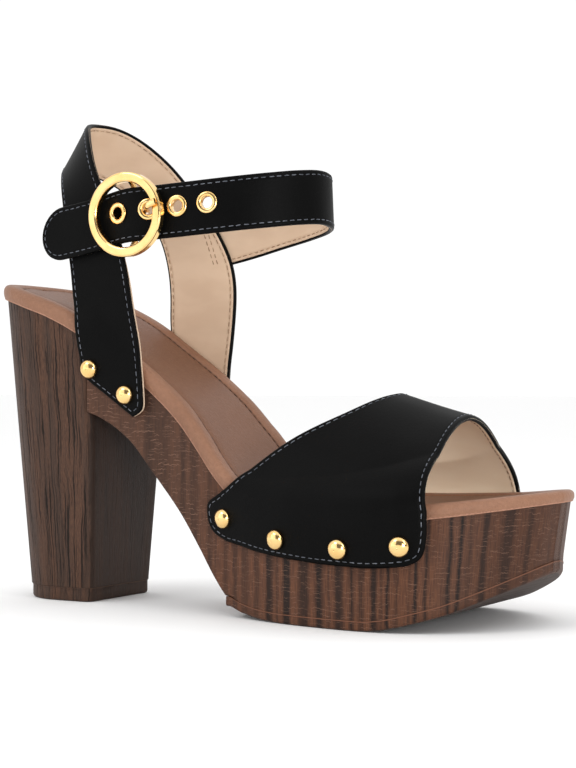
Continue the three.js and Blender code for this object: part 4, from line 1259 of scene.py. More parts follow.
@dataclass
class Outline:
    """The sole's outline on both sides, seen from above."""

    steps: int = 1200
    count: int = 300

    def route(self, side: Side, t: Array) -> Array:
        """Points of one side at shares of its length."""
        column = 1 if side is Side.OUTER else 2
        wide = side.value * BALL_WIDTH * OUTLINE[:, column]
        rows = np.column_stack([along_x(OUTLINE[:, 0]), wide])
        points = spline(rows, t)
        share = (points[:, 0] + HEEL_SET) / SOLE_LENGTH
        blend = ease(share, 0.04, 0.09) * (1 - ease(share, 0.9, 0.95))
        points[:, 1] += blend * (side.value * half_width(side, points[:, 0]) - points[:, 1])
        return points

    def arc(self, side: Side, t: Array) -> Array:
        """Length along one side at shares of it."""
        fine = np.linspace(0, 1, self.steps)
        return np.interp(t, fine, arc_length(self.route(side, fine)))

    def arc_at(self, along: float) -> float:
        """Length along the outer side at a share of the sole's length."""
        fine = np.linspace(0, 1, self.steps)
        points = self.route(Side.OUTER, fine)
        return float(np.interp(along_x(along), points[:, 0], arc_length(points)))

    def stations(self, side: Side, start: float | None) -> Array:
        """Shares of one side, from x = start to the toe."""
        first = 0.0
        if start is not None:
            fine = np.linspace(0, 1, self.steps)
            first = float(np.interp(start, self.route(side, fine)[:, 0], fine))
        return np.linspace(first, 1, self.count)

    def across(self, start: float | None, layers: Sequence[tuple]) -> tuple[Array, Array]:
        """Rings across the sole, with the flow of each point.

        Args:
            start: x of the first ring, or None for the seat's back.
            layers: inset or its curve over x, height over x, and lean, from the lowest edge up.

        Returns:
            Rings of points and of lengths along and up.
        """
        halves, flows = [], []
        for side in Side:
            t = self.stations(side, start)
            points = self.route(side, t)
            step = np.gradient(points, axis=0)
            inward = unit(np.column_stack([step[:, 1], -step[:, 0]])) * side.value
            inward[-1] = (-1, 0)
            inward[0] = (1, 0) if start is None else (0, -side.value)
            back = TOE_LEAN * ease(points[:, 0], along_x(0.7), along_x(1))
            run = self.arc(side, t) + (0 if side is Side.OUTER else INNER_START)
            columns, flow = [], []
            for inset, height, lean in layers:
                inset = inset(points[:, 0]) if callable(inset) else inset
                x = points[:, 0] + inward[:, 0] * inset - back * lean
                y = points[:, 1] + inward[:, 1] * inset
                z = height(x)
                columns.append(np.stack([x, y, z], 1))
                flow.append(np.stack([run, z], 1))
            halves.append(np.stack(columns, 1))
            flows.append(np.stack(flow, 1))
        rings = np.concatenate([halves[0], halves[1][:, ::-1]], 1)
        return rings, np.concatenate([flows[0], flows[1][:, ::-1]], 1)


@dataclass
class Sole:
    """The platform with its shank, the outsole, the heel and its tip."""

    outline: Outline
    outsole_thick: float = 3.2
    outsole_start: float = 82.5
    shank_depth: float = 36.0
    tip_thick: float = 5.0
    tip_radius: float = 20.0
    breast_foot: float = 16.5
    breast_top: float = 20.0
    breast_bend: float = 68.0
    heel_corner: float = 3.0
    heel_middle: float = 0.125
    lip: float = 0.18
    lip_fade: tuple = (1.0, 9.0)
    front_slack: float = 0.6
    sharp: float = 50.0
    # Steps of a rounded edge, up the platform's wall and up the heel.
    edge_steps: int = 5
    wall_steps: int = 16
    heel_levels: int = 90
    # Steps of the heel's back, flank, corner and front.
    heel_steps: tuple = (60, 22, 7, 18)

    def tread_z(self, x: Array) -> Array:
        """Height of the outsole's ground face."""
        return TOE_SPRING * TREAD(x)

    def outsole_top(self, x: Array) -> Array:
        """Height of the outsole's upper face."""
        return self.tread_z(x) + self.outsole_thick

    def under_z(self, x: Array) -> Array:
        """Height of the underside of the platform and the shank."""
        tread = self.outsole_top(x) + GAP
        shank = np.maximum(tread, seat_z(x) - self.shank_depth * SHANK(x))
        return np.where(x >= self.outsole_start, tread, shank)

    def top_z(self, x: Array) -> Array:
        """Height of the wood's top under the insole."""
        return seat_z(x) - upright(x, GAP)

    def rounded(self, base: Height, radius: Height) -> list[tuple[float, Height, float]]:
        """Layers round a long lower edge.

        Args:
            base: height of the face that the edge closes.
            radius: the edge's radius along the sole.
        """
        layers: list[tuple[float, Height, float]] = [(RIM_OVER + EDGE_BREAK + 3, base, 1.0)]
        for angle in np.linspace(0, math.pi / 2, self.edge_steps):
            inset = RIM_OVER + EDGE_BREAK * (1 - math.sin(angle))

            def height(x: Array, rise: float = 1 - math.cos(angle)) -> Array:
                """The edge's height."""
                return base(x) + radius(x) * rise

            layers.append((inset, height, 1.0))
        return layers

    def platform_edge(self, x: Array) -> Array:
        """Radius of the platform's lower edge, fine over the outsole."""
        return EDGE_BREAK * (1 - 0.96 * ease(x, self.outsole_start, self.outsole_start + 8))

    def platform(self) -> bpy.types.Object:
        """The platform and the shank in one body."""
        layers = self.rounded(self.under_z, self.platform_edge)
        for share in np.linspace(0, 1, self.wall_steps)[1:]:
            def height(x: Array, share: float = share) -> Array:
                """A level between the lower edge and the top."""
                low = self.under_z(x) + EDGE_BREAK
                return low + (self.top_z(x) - low) * share

            layers.append((RIM_OVER, height, 1.0 - share))
        layers.append((RIM_OVER + 4, self.top_z, 0.0))
        rings, flow = self.outline.across(self.breast_top + GAP, layers)
        return make_body("platform_body", rings, flow, self.sharp)

    def outsole(self) -> bpy.types.Object:
        """The thin ground layer, with a fine lip along its upper edge."""

        def top(x: Array, drop: float = 0.0) -> Array:
            """Its upper face, laid against the platform."""
            return self.outsole_top(x) + GAP * 0.95 - drop

        def lip(x: Array) -> Array:
            """Inset of the lip, which fades out at the waist."""
            return RIM_OVER - self.lip * ease(x - self.outsole_start, *self.lip_fade)

        layers = [
            *self.rounded(self.tread_z, lambda x: EDGE_BREAK + 0 * x),
            (RIM_OVER, lambda x: top(x, 2.6 * self.lip), 1.0),
            (lip, lambda x: top(x, 1.8 * self.lip), 1.0),
            (lip, lambda x: top(x, 0.3 * self.lip), 1.0),
            (RIM_OVER, top, 1.0),
            (RIM_OVER + 3, top, 1.0),
        ]
        rings, flow = self.outline.across(self.outsole_start, layers)
        mark = np.zeros(rings.shape[:2])
        half = len(layers)
        strength = ease(rings[:, half - 3, 0] - self.outsole_start, *self.lip_fade)
        for column in (half - 4, half - 3):
            mark[:, [column, 2 * half - 1 - column]] = strength[:, None]
        return make_body("outsole_layer", rings, flow, 40, lip=mark)

    def heel_ring(self, share: Array, breast: Array) -> Array:
        """The heel's D from above, once round.

        Args:
            share: share of the way from the tip to the seat, for each level.
            breast: x of the flat front at each level.

        Returns:
            Levels of rings of x and y.
        """

        def mix(low: float, high: float) -> Array:
            """From low at the tip to high at the seat."""
            return low + (high - low) * share

        middle = along_x(self.heel_middle)
        centre, back = mix(0.0, middle), mix(self.tip_radius, middle - along_x(0) - RIM_OVER)
        back_steps, flank_steps, corner_steps, front_steps = self.heel_steps
        halves = []
        for side in Side:
            flank = mix(self.tip_radius, float(body_width(side, middle)))
            front = mix(self.tip_radius, float(body_width(side, self.breast_top)))
            columns = []
            for angle in np.linspace(0, math.pi / 2, back_steps):
                y = side.value * flank * math.sin(angle)
                columns.append((centre - back * math.cos(angle), y))
            for t in np.linspace(0, 1, flank_steps)[1:]:
                x = centre + (breast - self.heel_corner - centre) * t
                columns.append((x, side.value * (flank + (front - flank) * t)))
            for angle in np.linspace(0, math.pi / 2, corner_steps)[1:]:
                x = breast - self.heel_corner * (1 - math.sin(angle))
                y = front - self.heel_corner * (1 - math.cos(angle))
                columns.append((x, side.value * y))
            for t in np.linspace(0, 1, front_steps)[1:]:
                y = (front - self.heel_corner) * (1 - t * 0.995)
                columns.append((breast, side.value * y))
            halves.append(np.stack([np.stack(c, -1) for c in columns], 1))
        return np.concatenate([halves[0], halves[1][:, ::-1]], 1)

    def breast_at(self, z: Array) -> Array:
        """x of the heel's flat front at a height."""
        share = np.clip(z / self.breast_bend, 0, 1)
        return self.breast_foot + (self.breast_top - self.breast_foot) * share

    def heel(self) -> bpy.types.Object:
        """The tall heel block, its top laid to the seat's slope."""
        floor = self.tip_thick + GAP
        levels = np.linspace(0, 1, self.heel_levels)
        guess = floor + (SEAT_RISE - floor) * levels
        share = guess / SEAT_RISE
        ring = self.heel_ring(share, self.breast_at(guess))
        rings = np.zeros((*ring.shape[:2], 3))
        for k, level in enumerate(levels):
            for _ in range(3):
                top = self.top_z(ring[k, :, 0])
                z = floor + (top - floor) * level
            rings[k, :, :2], rings[k, :, 2] = ring[k], z
        return self.block("heel_block", rings, ring[len(levels) // 2])

    def block(self, name: str, rings: Array, around: Array, **marks: Array) -> bpy.types.Object:
        """A body of the heel, with its flat front marked.

        Args:
            name: the piece's name.
            rings: its levels.
            around: x and y of the level that lengths round the body follow.
            marks: more numbers at the points.

        Returns:
            The object.
        """
        run = np.broadcast_to(arc_length(around), rings.shape[:2])
        flow = np.stack([run, rings[..., 2]], -1)
        front = rings[..., 0] > self.breast_at(rings[..., 2]) - self.front_slack
        return make_body(name, rings, flow, self.sharp, breast=front, **marks)

    def tip(self) -> bpy.types.Object:
        """The top piece under the heel."""
        ring = self.heel_ring(np.array([0.0]), np.array([self.breast_foot]))[0]
        reach = np.linalg.norm(ring, axis=1, keepdims=True)
        rows = [(4.0, 0.0)]
        for angle in np.linspace(0, math.pi / 2, self.edge_steps):
            rows.append((EDGE_BREAK * (1 - math.sin(angle)), EDGE_BREAK * (1 - math.cos(angle))))
        top = self.tip_thick + GAP * 0.9
        rows += [(0.0, top - 2.0), (0.0, top - 2.2 * self.lip), (-self.lip, top - 1.4 * self.lip)]
        rows += [(-self.lip, top - 0.5 * self.lip), (0.1, top), (4.0, top)]
        rings = np.stack([
            np.column_stack([ring * (1 - inset / reach), np.full(len(ring), z)])
            for inset, z in rows
        ])
        lip = np.zeros(rings.shape[:2])
        lip[-4:-2] = 1
        return self.block("heel_top_piece", rings, ring, lip=lip)

    def build(self) -> None:
        """Builds and dresses the four pieces."""
        wood = Wood().make("printed_wood", self.outline.arc_at)
        grain = HeelGrain().make("heel_grain")
        rubber = Rubber().make("sole_rubber")
        fit(self.platform(), wood, "sole_wood", "platform")
        fit(self.heel(), grain, "heel_wood", "heel")
        for piece, look, slot, node in (
            (self.outsole(), wood, "sole_tread", "outsole"),
            (self.tip(), grain, "sole_tread", "heel_tip"),
        ):
            fit(piece, look, slot, node)
            piece.data.materials.append(rubber)
            for face in piece.data.polygons:
                face.material_index = int(face.normal.z < -0.8)


@dataclass
class Footbed:
    """The leather covered insole with its rolled rim and sewn groove."""

    outline: Outline
    # Columns: inset from the outline, share of the rise over the base in millimetres.
    rim: tuple = (
        (2.2, 0.0), (1.12, 0.0), (1.1, -0.55), (0.75, -0.7), (0.45, -0.45), (0.35, 0.1),
        (0.12, 0.7), (0.0, 1.5), (0.0, 2.6), (0.15, 3.4), (0.55, 4.15), (1.1, 4.7),
        (1.9, 5.05), (2.9, 5.15), (4.2, 5.1), (5.4, 4.9), (6.2, 4.6), (6.8, 4.2),
        (7.2, 3.9), (7.7, 3.95), (8.3, 4.15), (9.4, 4.3), (11.0, 4.35),
    )
    fill: int = 14
    groove: int = 18
    crown: float = 0.35
    # Stitches of the groove: pitch, radius and seed, and how many points its ends leave.
    stitch: tuple = (2.9, 0.22, 5)
    seam_end: int = 6

    def base_z(self, x: Array) -> Array:
        """Height of the insole's underside."""
        return seat_z(x) + upright(x, GAP / 2)

    def rise(self, amount: float) -> Height:
        """Height of a layer that thins to the toe."""
        return lambda x: self.base_z(x) + upright(x, amount * RIM(x))

    def build(self) -> None:
        """Builds the insole and its stitches."""
        layers = [(inset, self.rise(amount), 0.0) for inset, amount in self.rim]
        rings, _ = self.outline.across(None, layers)
        count = len(self.rim)
        outer, inner = rings[:, :count], rings[:, count:]
        shares = np.linspace(0, 1, self.fill + 2)[1:-1]
        inside = outer[:, -1:, :] + (inner[:, :1, :] - outer[:, -1:, :]) * shares[None, :, None]
        bed = self.rim[-1][1] - self.crown * 4 * shares * (1 - shares)
        x = inside[..., 0]
        inside[..., 2] = self.base_z(x) + upright(x, bed[None] * RIM(x))
        full = np.concatenate([outer, inside, inner], 1)
        inset, amount = np.array(self.rim).T
        profile = arc_length(np.column_stack([inset, amount]))
        wide = np.full(self.fill, profile[-1] + 6)
        v = np.concatenate([profile, wide, profile[::-1]])
        run = arc_length(outer[:, 7])
        flow = np.stack(np.broadcast_arrays(run[:, None], v[None]), -1)
        piece = make_body("insole_leather", full, flow, 60)
        look = TanLeather(groove_at=float(profile[self.groove])).make("tan_leather")
        fit(piece, look, "tan_leather", "insole")
        thread = Thread(colour=tone(112, 78, 60), dark=tone(84, 56, 42)).make("tan_thread")
        grooves = {"outer": outer[:, self.groove], "inner": inner[:, count - 1 - self.groove]}
        for side, rows in grooves.items():
            line = rows[self.seam_end : -self.seam_end]
            slope = np.gradient(line[:, 2]) / np.maximum(np.gradient(line[:, 0]), 1e-6)
            slope = np.clip(slope, -2, 2)
            out = unit(np.column_stack([-slope, np.zeros(len(line)), np.ones(len(line))]))
            line = line + out * 0.05
            seam = sew(f"insole_seam_{side}", line, out, *self.stitch, closed=False)
            fit(seam, thread, "tan_leather")


def hug_width(side: Side, x: Array, z: Array) -> Array:
    """How far out the upper's inner face stands where it covers the sole."""
    share = np.clip(1 - (seat_z(x) - RIM_ROUND - z) / FOOT_FLARE, 0, 1)
    return body_width(side, x) + (RIM_OVER + FACET_SLACK) * share + GAP


def clear_sole(points: Array, side: Side) -> Array:
    """Points of the upper's inner face moved out of the sole."""
    x, z = points[..., 0], points[..., 2]
    top = seat_z(x) + upright(x, RIM_THICK + UPPER_WALL)
    out = side.value * np.maximum(np.abs(points[..., 1]), hug_width(side, x, z))
    return np.stack([x, np.where(z > top, points[..., 1], out), z], -1)


def refine(grid: Array, rows: Array, columns: Array, relax: int = 6) -> Array:
    """A smooth, finer grid through a coarse one.

    Args:
        grid: rows of columns of points.
        rows: shares of the way down the rows.
        columns: shares of the way along the columns.
        relax: how often inner points move to the middle of their neighbours.

    Returns:
        The finer grid.
    """
    down, over = (np.linspace(0, 1, 3 * (n - 1) + 1) for n in grid.shape[:2])
    even = spline(grid, down, True).transpose(1, 0, 2)
    even = spline(even, over, True).transpose(1, 0, 2)
    for _ in range(relax):
        middle = (even[:-2, 1:-1] + even[2:, 1:-1] + even[1:-1, :-2] + even[1:-1, 2:]) / 4
        even[1:-1, 1:-1] += 0.6 * (middle - even[1:-1, 1:-1])
        for border in (even[:, 0], even[:, -1]):
            border[1:-1] += 0.3 * ((border[:-2] + border[2:]) / 2 - border[1:-1])
    fine = spline(even, rows, True).transpose(1, 0, 2)
    return spline(fine, columns, True).transpose(1, 0, 2)


@dataclass
class Leatherwork:
    """How every band of the upper is layered and sewn."""

    lining: float = 0.62
    stitch_inset: float = 1.7
    stitch_pitch: float = 2.75
    thread_radius: float = 0.17
    lining_inset: float = 1.95
    lining_thread: float = 0.18
    black: bpy.types.Material = field(init=False)
    cream: bpy.types.Material = field(init=False)
    pale: bpy.types.Material = field(init=False)
    grey_thread: bpy.types.Material = field(init=False)
    tan_thread: bpy.types.Material = field(init=False)

    def __post_init__(self) -> None:
        """Makes the finishes that the bands share."""
        self.black = BlackLeather().make("black_leather")
        self.cream = Lining().make("cream_lining")
        # A brighter copy of the cream lining: painted light for the vamp's shaded inside.
        pale = Lining(colour=tone(253, 235, 208), warm=tone(248, 226, 196))
        self.pale = pale.make("painted_light_lining")
        self.grey_thread = Thread().make("grey_thread")
        tan = Thread(colour=tone(178, 150, 124), dark=tone(142, 112, 88))
        self.tan_thread = tan.make("lining_thread")

    def band(
        self,
        name: str,
        sheet: Sheet,
        nodes: Sequence[str],
        seed: int,
        inside: bpy.types.Material | None = None,
        bare: Array | None = None,
    ) -> list[bpy.types.Object]:
        """Leather, lining and both rows of stitches of one band.

        Args:
            name: the band's name.
            sheet: its surface.
            nodes: the CAD nodes that the leather replaces.
            seed: start of the stitches' small random turns.
            inside: the lining's look, where it isn't the usual cream.
            bare: share of the lining's edge that shows at each point; None for none.

        Returns:
            The leather and the lining.
        """
        bare = np.zeros(sheet.edge.shape) if bare is None else bare
        leather = sheet.leather(f"{name}_leather", self.lining, bare)
        lining = sheet.lining(f"{name}_lining", self.lining, bare)
        fit(leather, self.black, "black_leather", *nodes)
        fit(lining, inside or self.cream, None)
        line, out = sheet.edge_line(self.stitch_inset, UPPER_WALL)
        row = sew(f"{name}_stitches", line, out, self.stitch_pitch, self.thread_radius, seed)
        fit(row, self.grey_thread, None)
        line, out = sheet.edge_line(self.lining_inset, 0.0)
        row = sew(
            f"{name}_lining_stitches", line, -out, self.stitch_pitch, self.lining_thread, seed + 1
        )
        fit(row, self.tan_thread, None)
        return [leather, lining]


@dataclass
class Vamp:
    """The broad band over the forefoot."""

    work: Leatherwork
    columns: int = 10
    shoulder: float = 8.0
    blend: float = 0.3
    # Steps of the fine grid, with the extra ones near its edges.
    fine_rows: tuple = (220, (0.0012, 0.004, 0.009, 0.016, 0.026))
    fine_columns: tuple = (48, (0.004, 0.012, 0.026))

    def rows(self, side: Side) -> Array:
        """Rows from the hem to the crown on one side."""
        front = 2 if side is Side.OUTER else 3
        share = np.linspace(0, 1, self.columns + 1)
        made = []
        for row in VAMP_FOOT:
            x = along_x(row[1] + (row[front] - row[1]) * share)
            z = VAMP_BASE - VAMP_DROP * HEM(x) * row[0]
            made.append(np.stack([x, side.value * hug_width(side, x, z), z], -1))
        places = np.linspace(0, 1, 2 * (len(VAMP_ARCH) - 1) + 1)
        index = np.arange(len(VAMP_ARCH), dtype=float)
        arch = [
            spline(np.column_stack([VAMP_ARCH[:, k], index]), places)[:, 0]
            for k in (0, 1, 2, front + 1)
        ]
        for across, up, back, ahead in zip(*arch):
            x = along_x(back + (ahead - back) * share)
            width = half_width(side, x) + GAP - (VAMP_TUCK if side is Side.INNER else 0)
            z = VAMP_BASE + VAMP_CROWN * RIDGE(x) * up
            made.append(np.stack([x, side.value * width * across, z], -1))
        return np.stack(made)

    def clear_rim(self, points: Array) -> Array:
        """Points moved out of the insole's rim without a ledge over it."""
        x, y, z = points[..., 0], points[..., 1], points[..., 2]
        hug = np.where(y < 0, hug_width(Side.OUTER, x, z), hug_width(Side.INNER, x, z))
        over = np.maximum(z - seat_z(x) - RIM_THICK * RIM(x), 0)
        need = hug - over**2 / (2 * self.shoulder)
        out = (np.abs(y) + need + np.sqrt((np.abs(y) - need) ** 2 + self.blend**2)) / 2
        return np.stack([x, np.sign(y) * np.where(np.abs(y) > 8, out, np.abs(y)), z], -1)

    def sheet(self) -> Sheet:
        """The band's smooth surface."""
        grid = np.concatenate([self.rows(Side.OUTER), self.rows(Side.INNER)[-2::-1]])
        fine = refine(grid, spaced(*self.fine_rows), spaced(*self.fine_columns))
        fine = self.clear_rim(fine)
        level = np.full(fine.shape[:2], VAMP_BASE)
        centre = np.stack([fine[..., 0], np.zeros(fine.shape[:2]), level], -1)
        return Sheet(fine, centre)

    def build(self) -> None:
        """Builds the band."""
        # The vamp's lining is the brighter copy, painted light for its shaded inside.
        self.work.band("vamp", self.sheet(), ("vamp",), 21, self.work.pale)


def ankle_point(shares: Array) -> Array:
    """Places round the ankle from shares of its reach, half width and height."""
    scale = np.array([ANKLE_REACH, ANKLE_HALF, ANKLE_TALL])
    return shares * scale + np.array([ANKLE_BACK, 0, ANKLE_FOOT])


@dataclass
class StrapRoute:
    """The ankle strap's middle line and what lies on it."""

    buckle_at: float = 40.8
    bar_radius: float = 1.1
    prong_radius: float = 0.85
    bar_sink: float = 2.0
    ring_inside: float = 12.25
    eyelet_back: float = 3.8
    eyelet_pitch: float = 11.3
    eyelet_lift: float = 1.3
    eyelets: int = 4
    t: Array = field(init=False)
    length: Array = field(init=False)

    def __post_init__(self) -> None:
        """Measures the line."""
        self.t = np.linspace(0, 1, 2001)
        self.length = arc_length(spline(ankle_point(STRAP[:, :3]), self.t))

    def frame(self, distance: Array) -> tuple[Array, Array, Array, Array]:
        """Place, onward, outward and upward directions at distances from the tip."""
        t = np.interp(np.atleast_1d(distance), self.length, self.t)
        points = ankle_point(STRAP[:, :3])
        place = spline(points, t)
        on = spline(points, np.clip(t + 1e-4, 0, 1)) - spline(points, np.clip(t - 1e-4, 0, 1))
        on[:, 2] = 0
        on = unit(on)
        out = np.column_stack([on[:, 1], -on[:, 0], np.zeros(len(on))])
        lean = np.interp(t, np.linspace(0, 1, len(STRAP)), STRAP[:, 3])
        up = unit(np.array([0, 0, 1.0]) - out * lean[:, None])
        return place, on, out, up

    def hump(self, distance: Array) -> Array:
        """How far the strap rises over the bar."""
        eye = 2 * self.prong_radius + self.bar_radius + GAP - self.bar_sink
        share = np.minimum(np.abs(distance - self.buckle_at) / self.ring_inside, 1)
        return (eye + GAP) * np.cos(share * math.pi / 2) ** 2

    def middle(self, distance: Array) -> Array:
        """The inner face's middle line, with the rise over the bar."""
        place, _, out, _ = self.frame(distance)
        return place + out * self.hump(np.atleast_1d(distance))[:, None]

    def pose(self, distance: float) -> Array:
        """Placement of an eyelet on the inner face."""
        before, after = self.middle(np.array([distance - 0.5, distance + 0.5]))
        on = unit(after - before)
        up = self.frame(distance)[3][0]
        out = unit(np.cross(on, up))
        place = self.middle(distance)[0] + up * self.eyelet_lift
        return placement(on, np.cross(out, on), out, place)

    def buckle_pose(self) -> Array:
        """Placement of the buckle."""
        place, on, out, up = (v[0] for v in self.frame(self.buckle_at))
        return placement(on, up, out, place)

    def eyelet_places(self) -> Array:
        """Distances of the eyelets from the tip."""
        return self.buckle_at - self.eyelet_back + self.eyelet_pitch * np.arange(self.eyelets)


def placement(x: Array, y: Array, z: Array, place: Array) -> Array:
    """A 4 by 4 placement from three directions and a place."""
    made = np.eye(4)
    made[:3, 0], made[:3, 1], made[:3, 2], made[:3, 3] = x, y, z, place
    return made


@dataclass
class AnkleUpper:
    """The sling, the strap that is sewn to it, and the eyelets in the strap."""

    work: Leatherwork
    route: StrapRoute
    bare_until: tuple = (0.2, 0.26)
    # Columns: x and z of a seam's top, x and z of its foot.
    seam_rows: tuple = (((36.6, 141.5), (41.8, 126.6)), ((38.6, 141.5), (43.6, 126.6)))
    eyelet_width: float = 7.8
    eyelet_bore: float = 4.3
    eyelet_barrel: float = 5.5
    eyelet_lip: float = 0.9
    eyelet_sides: int = 96
    hole_sides: int = 28
    seam_pitch: float = 2.6
    seam_thread: float = 0.2
    # Steps of the fine grids, with the extra ones near their edges.
    sling_rows: tuple = (230, (0.0014, 0.004, 0.009, 0.015))
    sling_columns: tuple = (18, (0.006, 0.018, 0.036, 0.075))
    strap_columns: tuple = (16, (0.006, 0.018, 0.036))
    strap_rows: tuple = (26, 330)

    def sling(self) -> Sheet:
        """The sling's smooth surface."""
        t = np.linspace(0, 1, 2 * (len(SLING) - 1) + 1)
        front = spline(ankle_point(SLING[:, :3]), t, True)
        back = spline(ankle_point(SLING[:, 3:]), t, True)
        share = np.linspace(0, 1, 5)[None, :, None]
        grid = front[:, None] * (1 - share) + back[:, None] * share
        outer = front[:, 1] < 0
        grid[outer] = clear_sole(grid[outer], Side.OUTER)
        grid[~outer] = clear_sole(grid[~outer], Side.INNER)
        fine = refine(grid, spaced(*self.sling_rows), spaced(*self.sling_columns), relax=4)
        return Sheet(fine, self.centre(fine))

    @staticmethod
    def centre(grid: Array) -> Array:
        """The leg's middle at each point's height."""
        middle = np.full(grid.shape[:2], ANKLE_BACK + ANKLE_REACH / 2)
        return np.stack([middle, np.zeros(grid.shape[:2]), grid[..., 2]], -1)

    def strap(self) -> Sheet:
        """The strap's surface from its round tip to the seam."""
        half = STRAP_WIDTH / 2
        tip_rows, rest_rows = self.strap_rows
        tip = half * (1 - np.cos(np.linspace(0.04, math.pi / 2, tip_rows)))
        rest = np.linspace(half, self.route.length[-1], rest_rows)[1:]
        distance = np.concatenate([tip, rest])
        _, _, _, up = self.route.frame(distance)
        middle = self.route.middle(distance)
        width = half * np.sqrt(1 - (1 - np.minimum(distance / half, 1)) ** 2)
        share = 1 - 2 * spaced(*self.strap_columns)
        grid = middle[:, None] + up[:, None] * (width[:, None] * share[None])[..., None]
        return Sheet(grid, self.centre(grid))

    def punch(self, pieces: Sequence[bpy.types.Object]) -> None:
        """Cuts the eyelets' holes through pieces."""
        tool_points, tool_faces = [], []
        radius, high = self.eyelet_barrel / 2 + 0.1, 4 * UPPER_WALL
        for k, distance in enumerate(self.route.eyelet_places()):
            profile = np.array([(0.01, -high), (radius, -high), (radius, high), (0.01, high)])
            points, faces = lathe(profile, self.hole_sides, self.route.pose(distance))
            tool_faces.append(faces + k * len(points))
            tool_points.append(points)
        tool = make_piece("hole_tool", np.vstack(tool_points), np.vstack(tool_faces))
        for piece in pieces:
            modifier = piece.modifiers.new("holes", "BOOLEAN")
            modifier.operation, modifier.object, modifier.solver = "DIFFERENCE", tool, "EXACT"
            with bpy.context.temp_override(object=piece, active_object=piece):
                bpy.ops.object.modifier_apply(modifier=modifier.name)
        bpy.data.objects.remove(tool)

    def eyelet(self, k: int, distance: float) -> bpy.types.Object:
        """One rolled eyelet."""
        bore, barrel, lip = self.eyelet_bore / 2, self.eyelet_barrel / 2, self.eyelet_width / 2
        low = UPPER_WALL + 0.12
        middle, half = (bore + lip) / 2, (lip - bore) / 2
        profile = [(bore + 0.1, 0.0), (bore, 0.2), (bore, low)]
        for angle in np.linspace(0.94, 0.06, 15) * math.pi:
            rise = low + 0.12 + self.eyelet_lip * 0.72 * math.sin(angle) ** 0.8
            profile.append((middle + half * math.cos(angle), rise))
        profile += [(lip, low), (barrel, low), (barrel, 0.0)]
        points, faces = lathe(np.array(profile), self.eyelet_sides, self.route.pose(distance))
        return make_piece(f"eyelet_ring_{k + 1}", points, faces, sharp=75)

    def seam(self, sling: Sheet) -> None:
        """Two rows of stitches where the strap is sewn to the sling's inner side."""
        tree = sling.tree_at(0.0)
        for k, (top, foot) in enumerate(self.seam_rows):
            line, out = [], []
            for share in np.linspace(0, 1, 24):
                x, z = np.array(top) + (np.array(foot) - np.array(top)) * share
                hit, normal, _, _ = tree.ray_cast(Vector((x, 0, z)), Vector((0, 1, 0)))
                if hit is not None:
                    line.append(hit)
                    out.append(normal if normal.y < 0 else -normal)
            name = f"strap_seam_{k + 1}"
            row = sew(
                name, np.array(line), np.array(out), self.seam_pitch, self.seam_thread, 40 + k,
                closed=False,
            )
            fit(row, self.work.tan_thread, None)

    def build(self, gold: bpy.types.Material) -> None:
        """Builds the bands and the eyelets."""
        sling, strap = self.sling(), self.strap()
        rows, columns = sling.edge.shape
        bare = 1 - ease(np.linspace(0, 1, rows), *self.bare_until)
        shown = np.broadcast_to(bare[:, None], (rows, columns))
        self.work.band("sling", sling, ("ankle_upper",), 31, bare=shown)
        self.punch(self.work.band("strap", strap, (), 35))
        self.seam(sling)
        for k, distance in enumerate(self.route.eyelet_places()):
            fit(self.eyelet(k, distance), gold, "gold_metal", f"eyelet_{k + 1}")


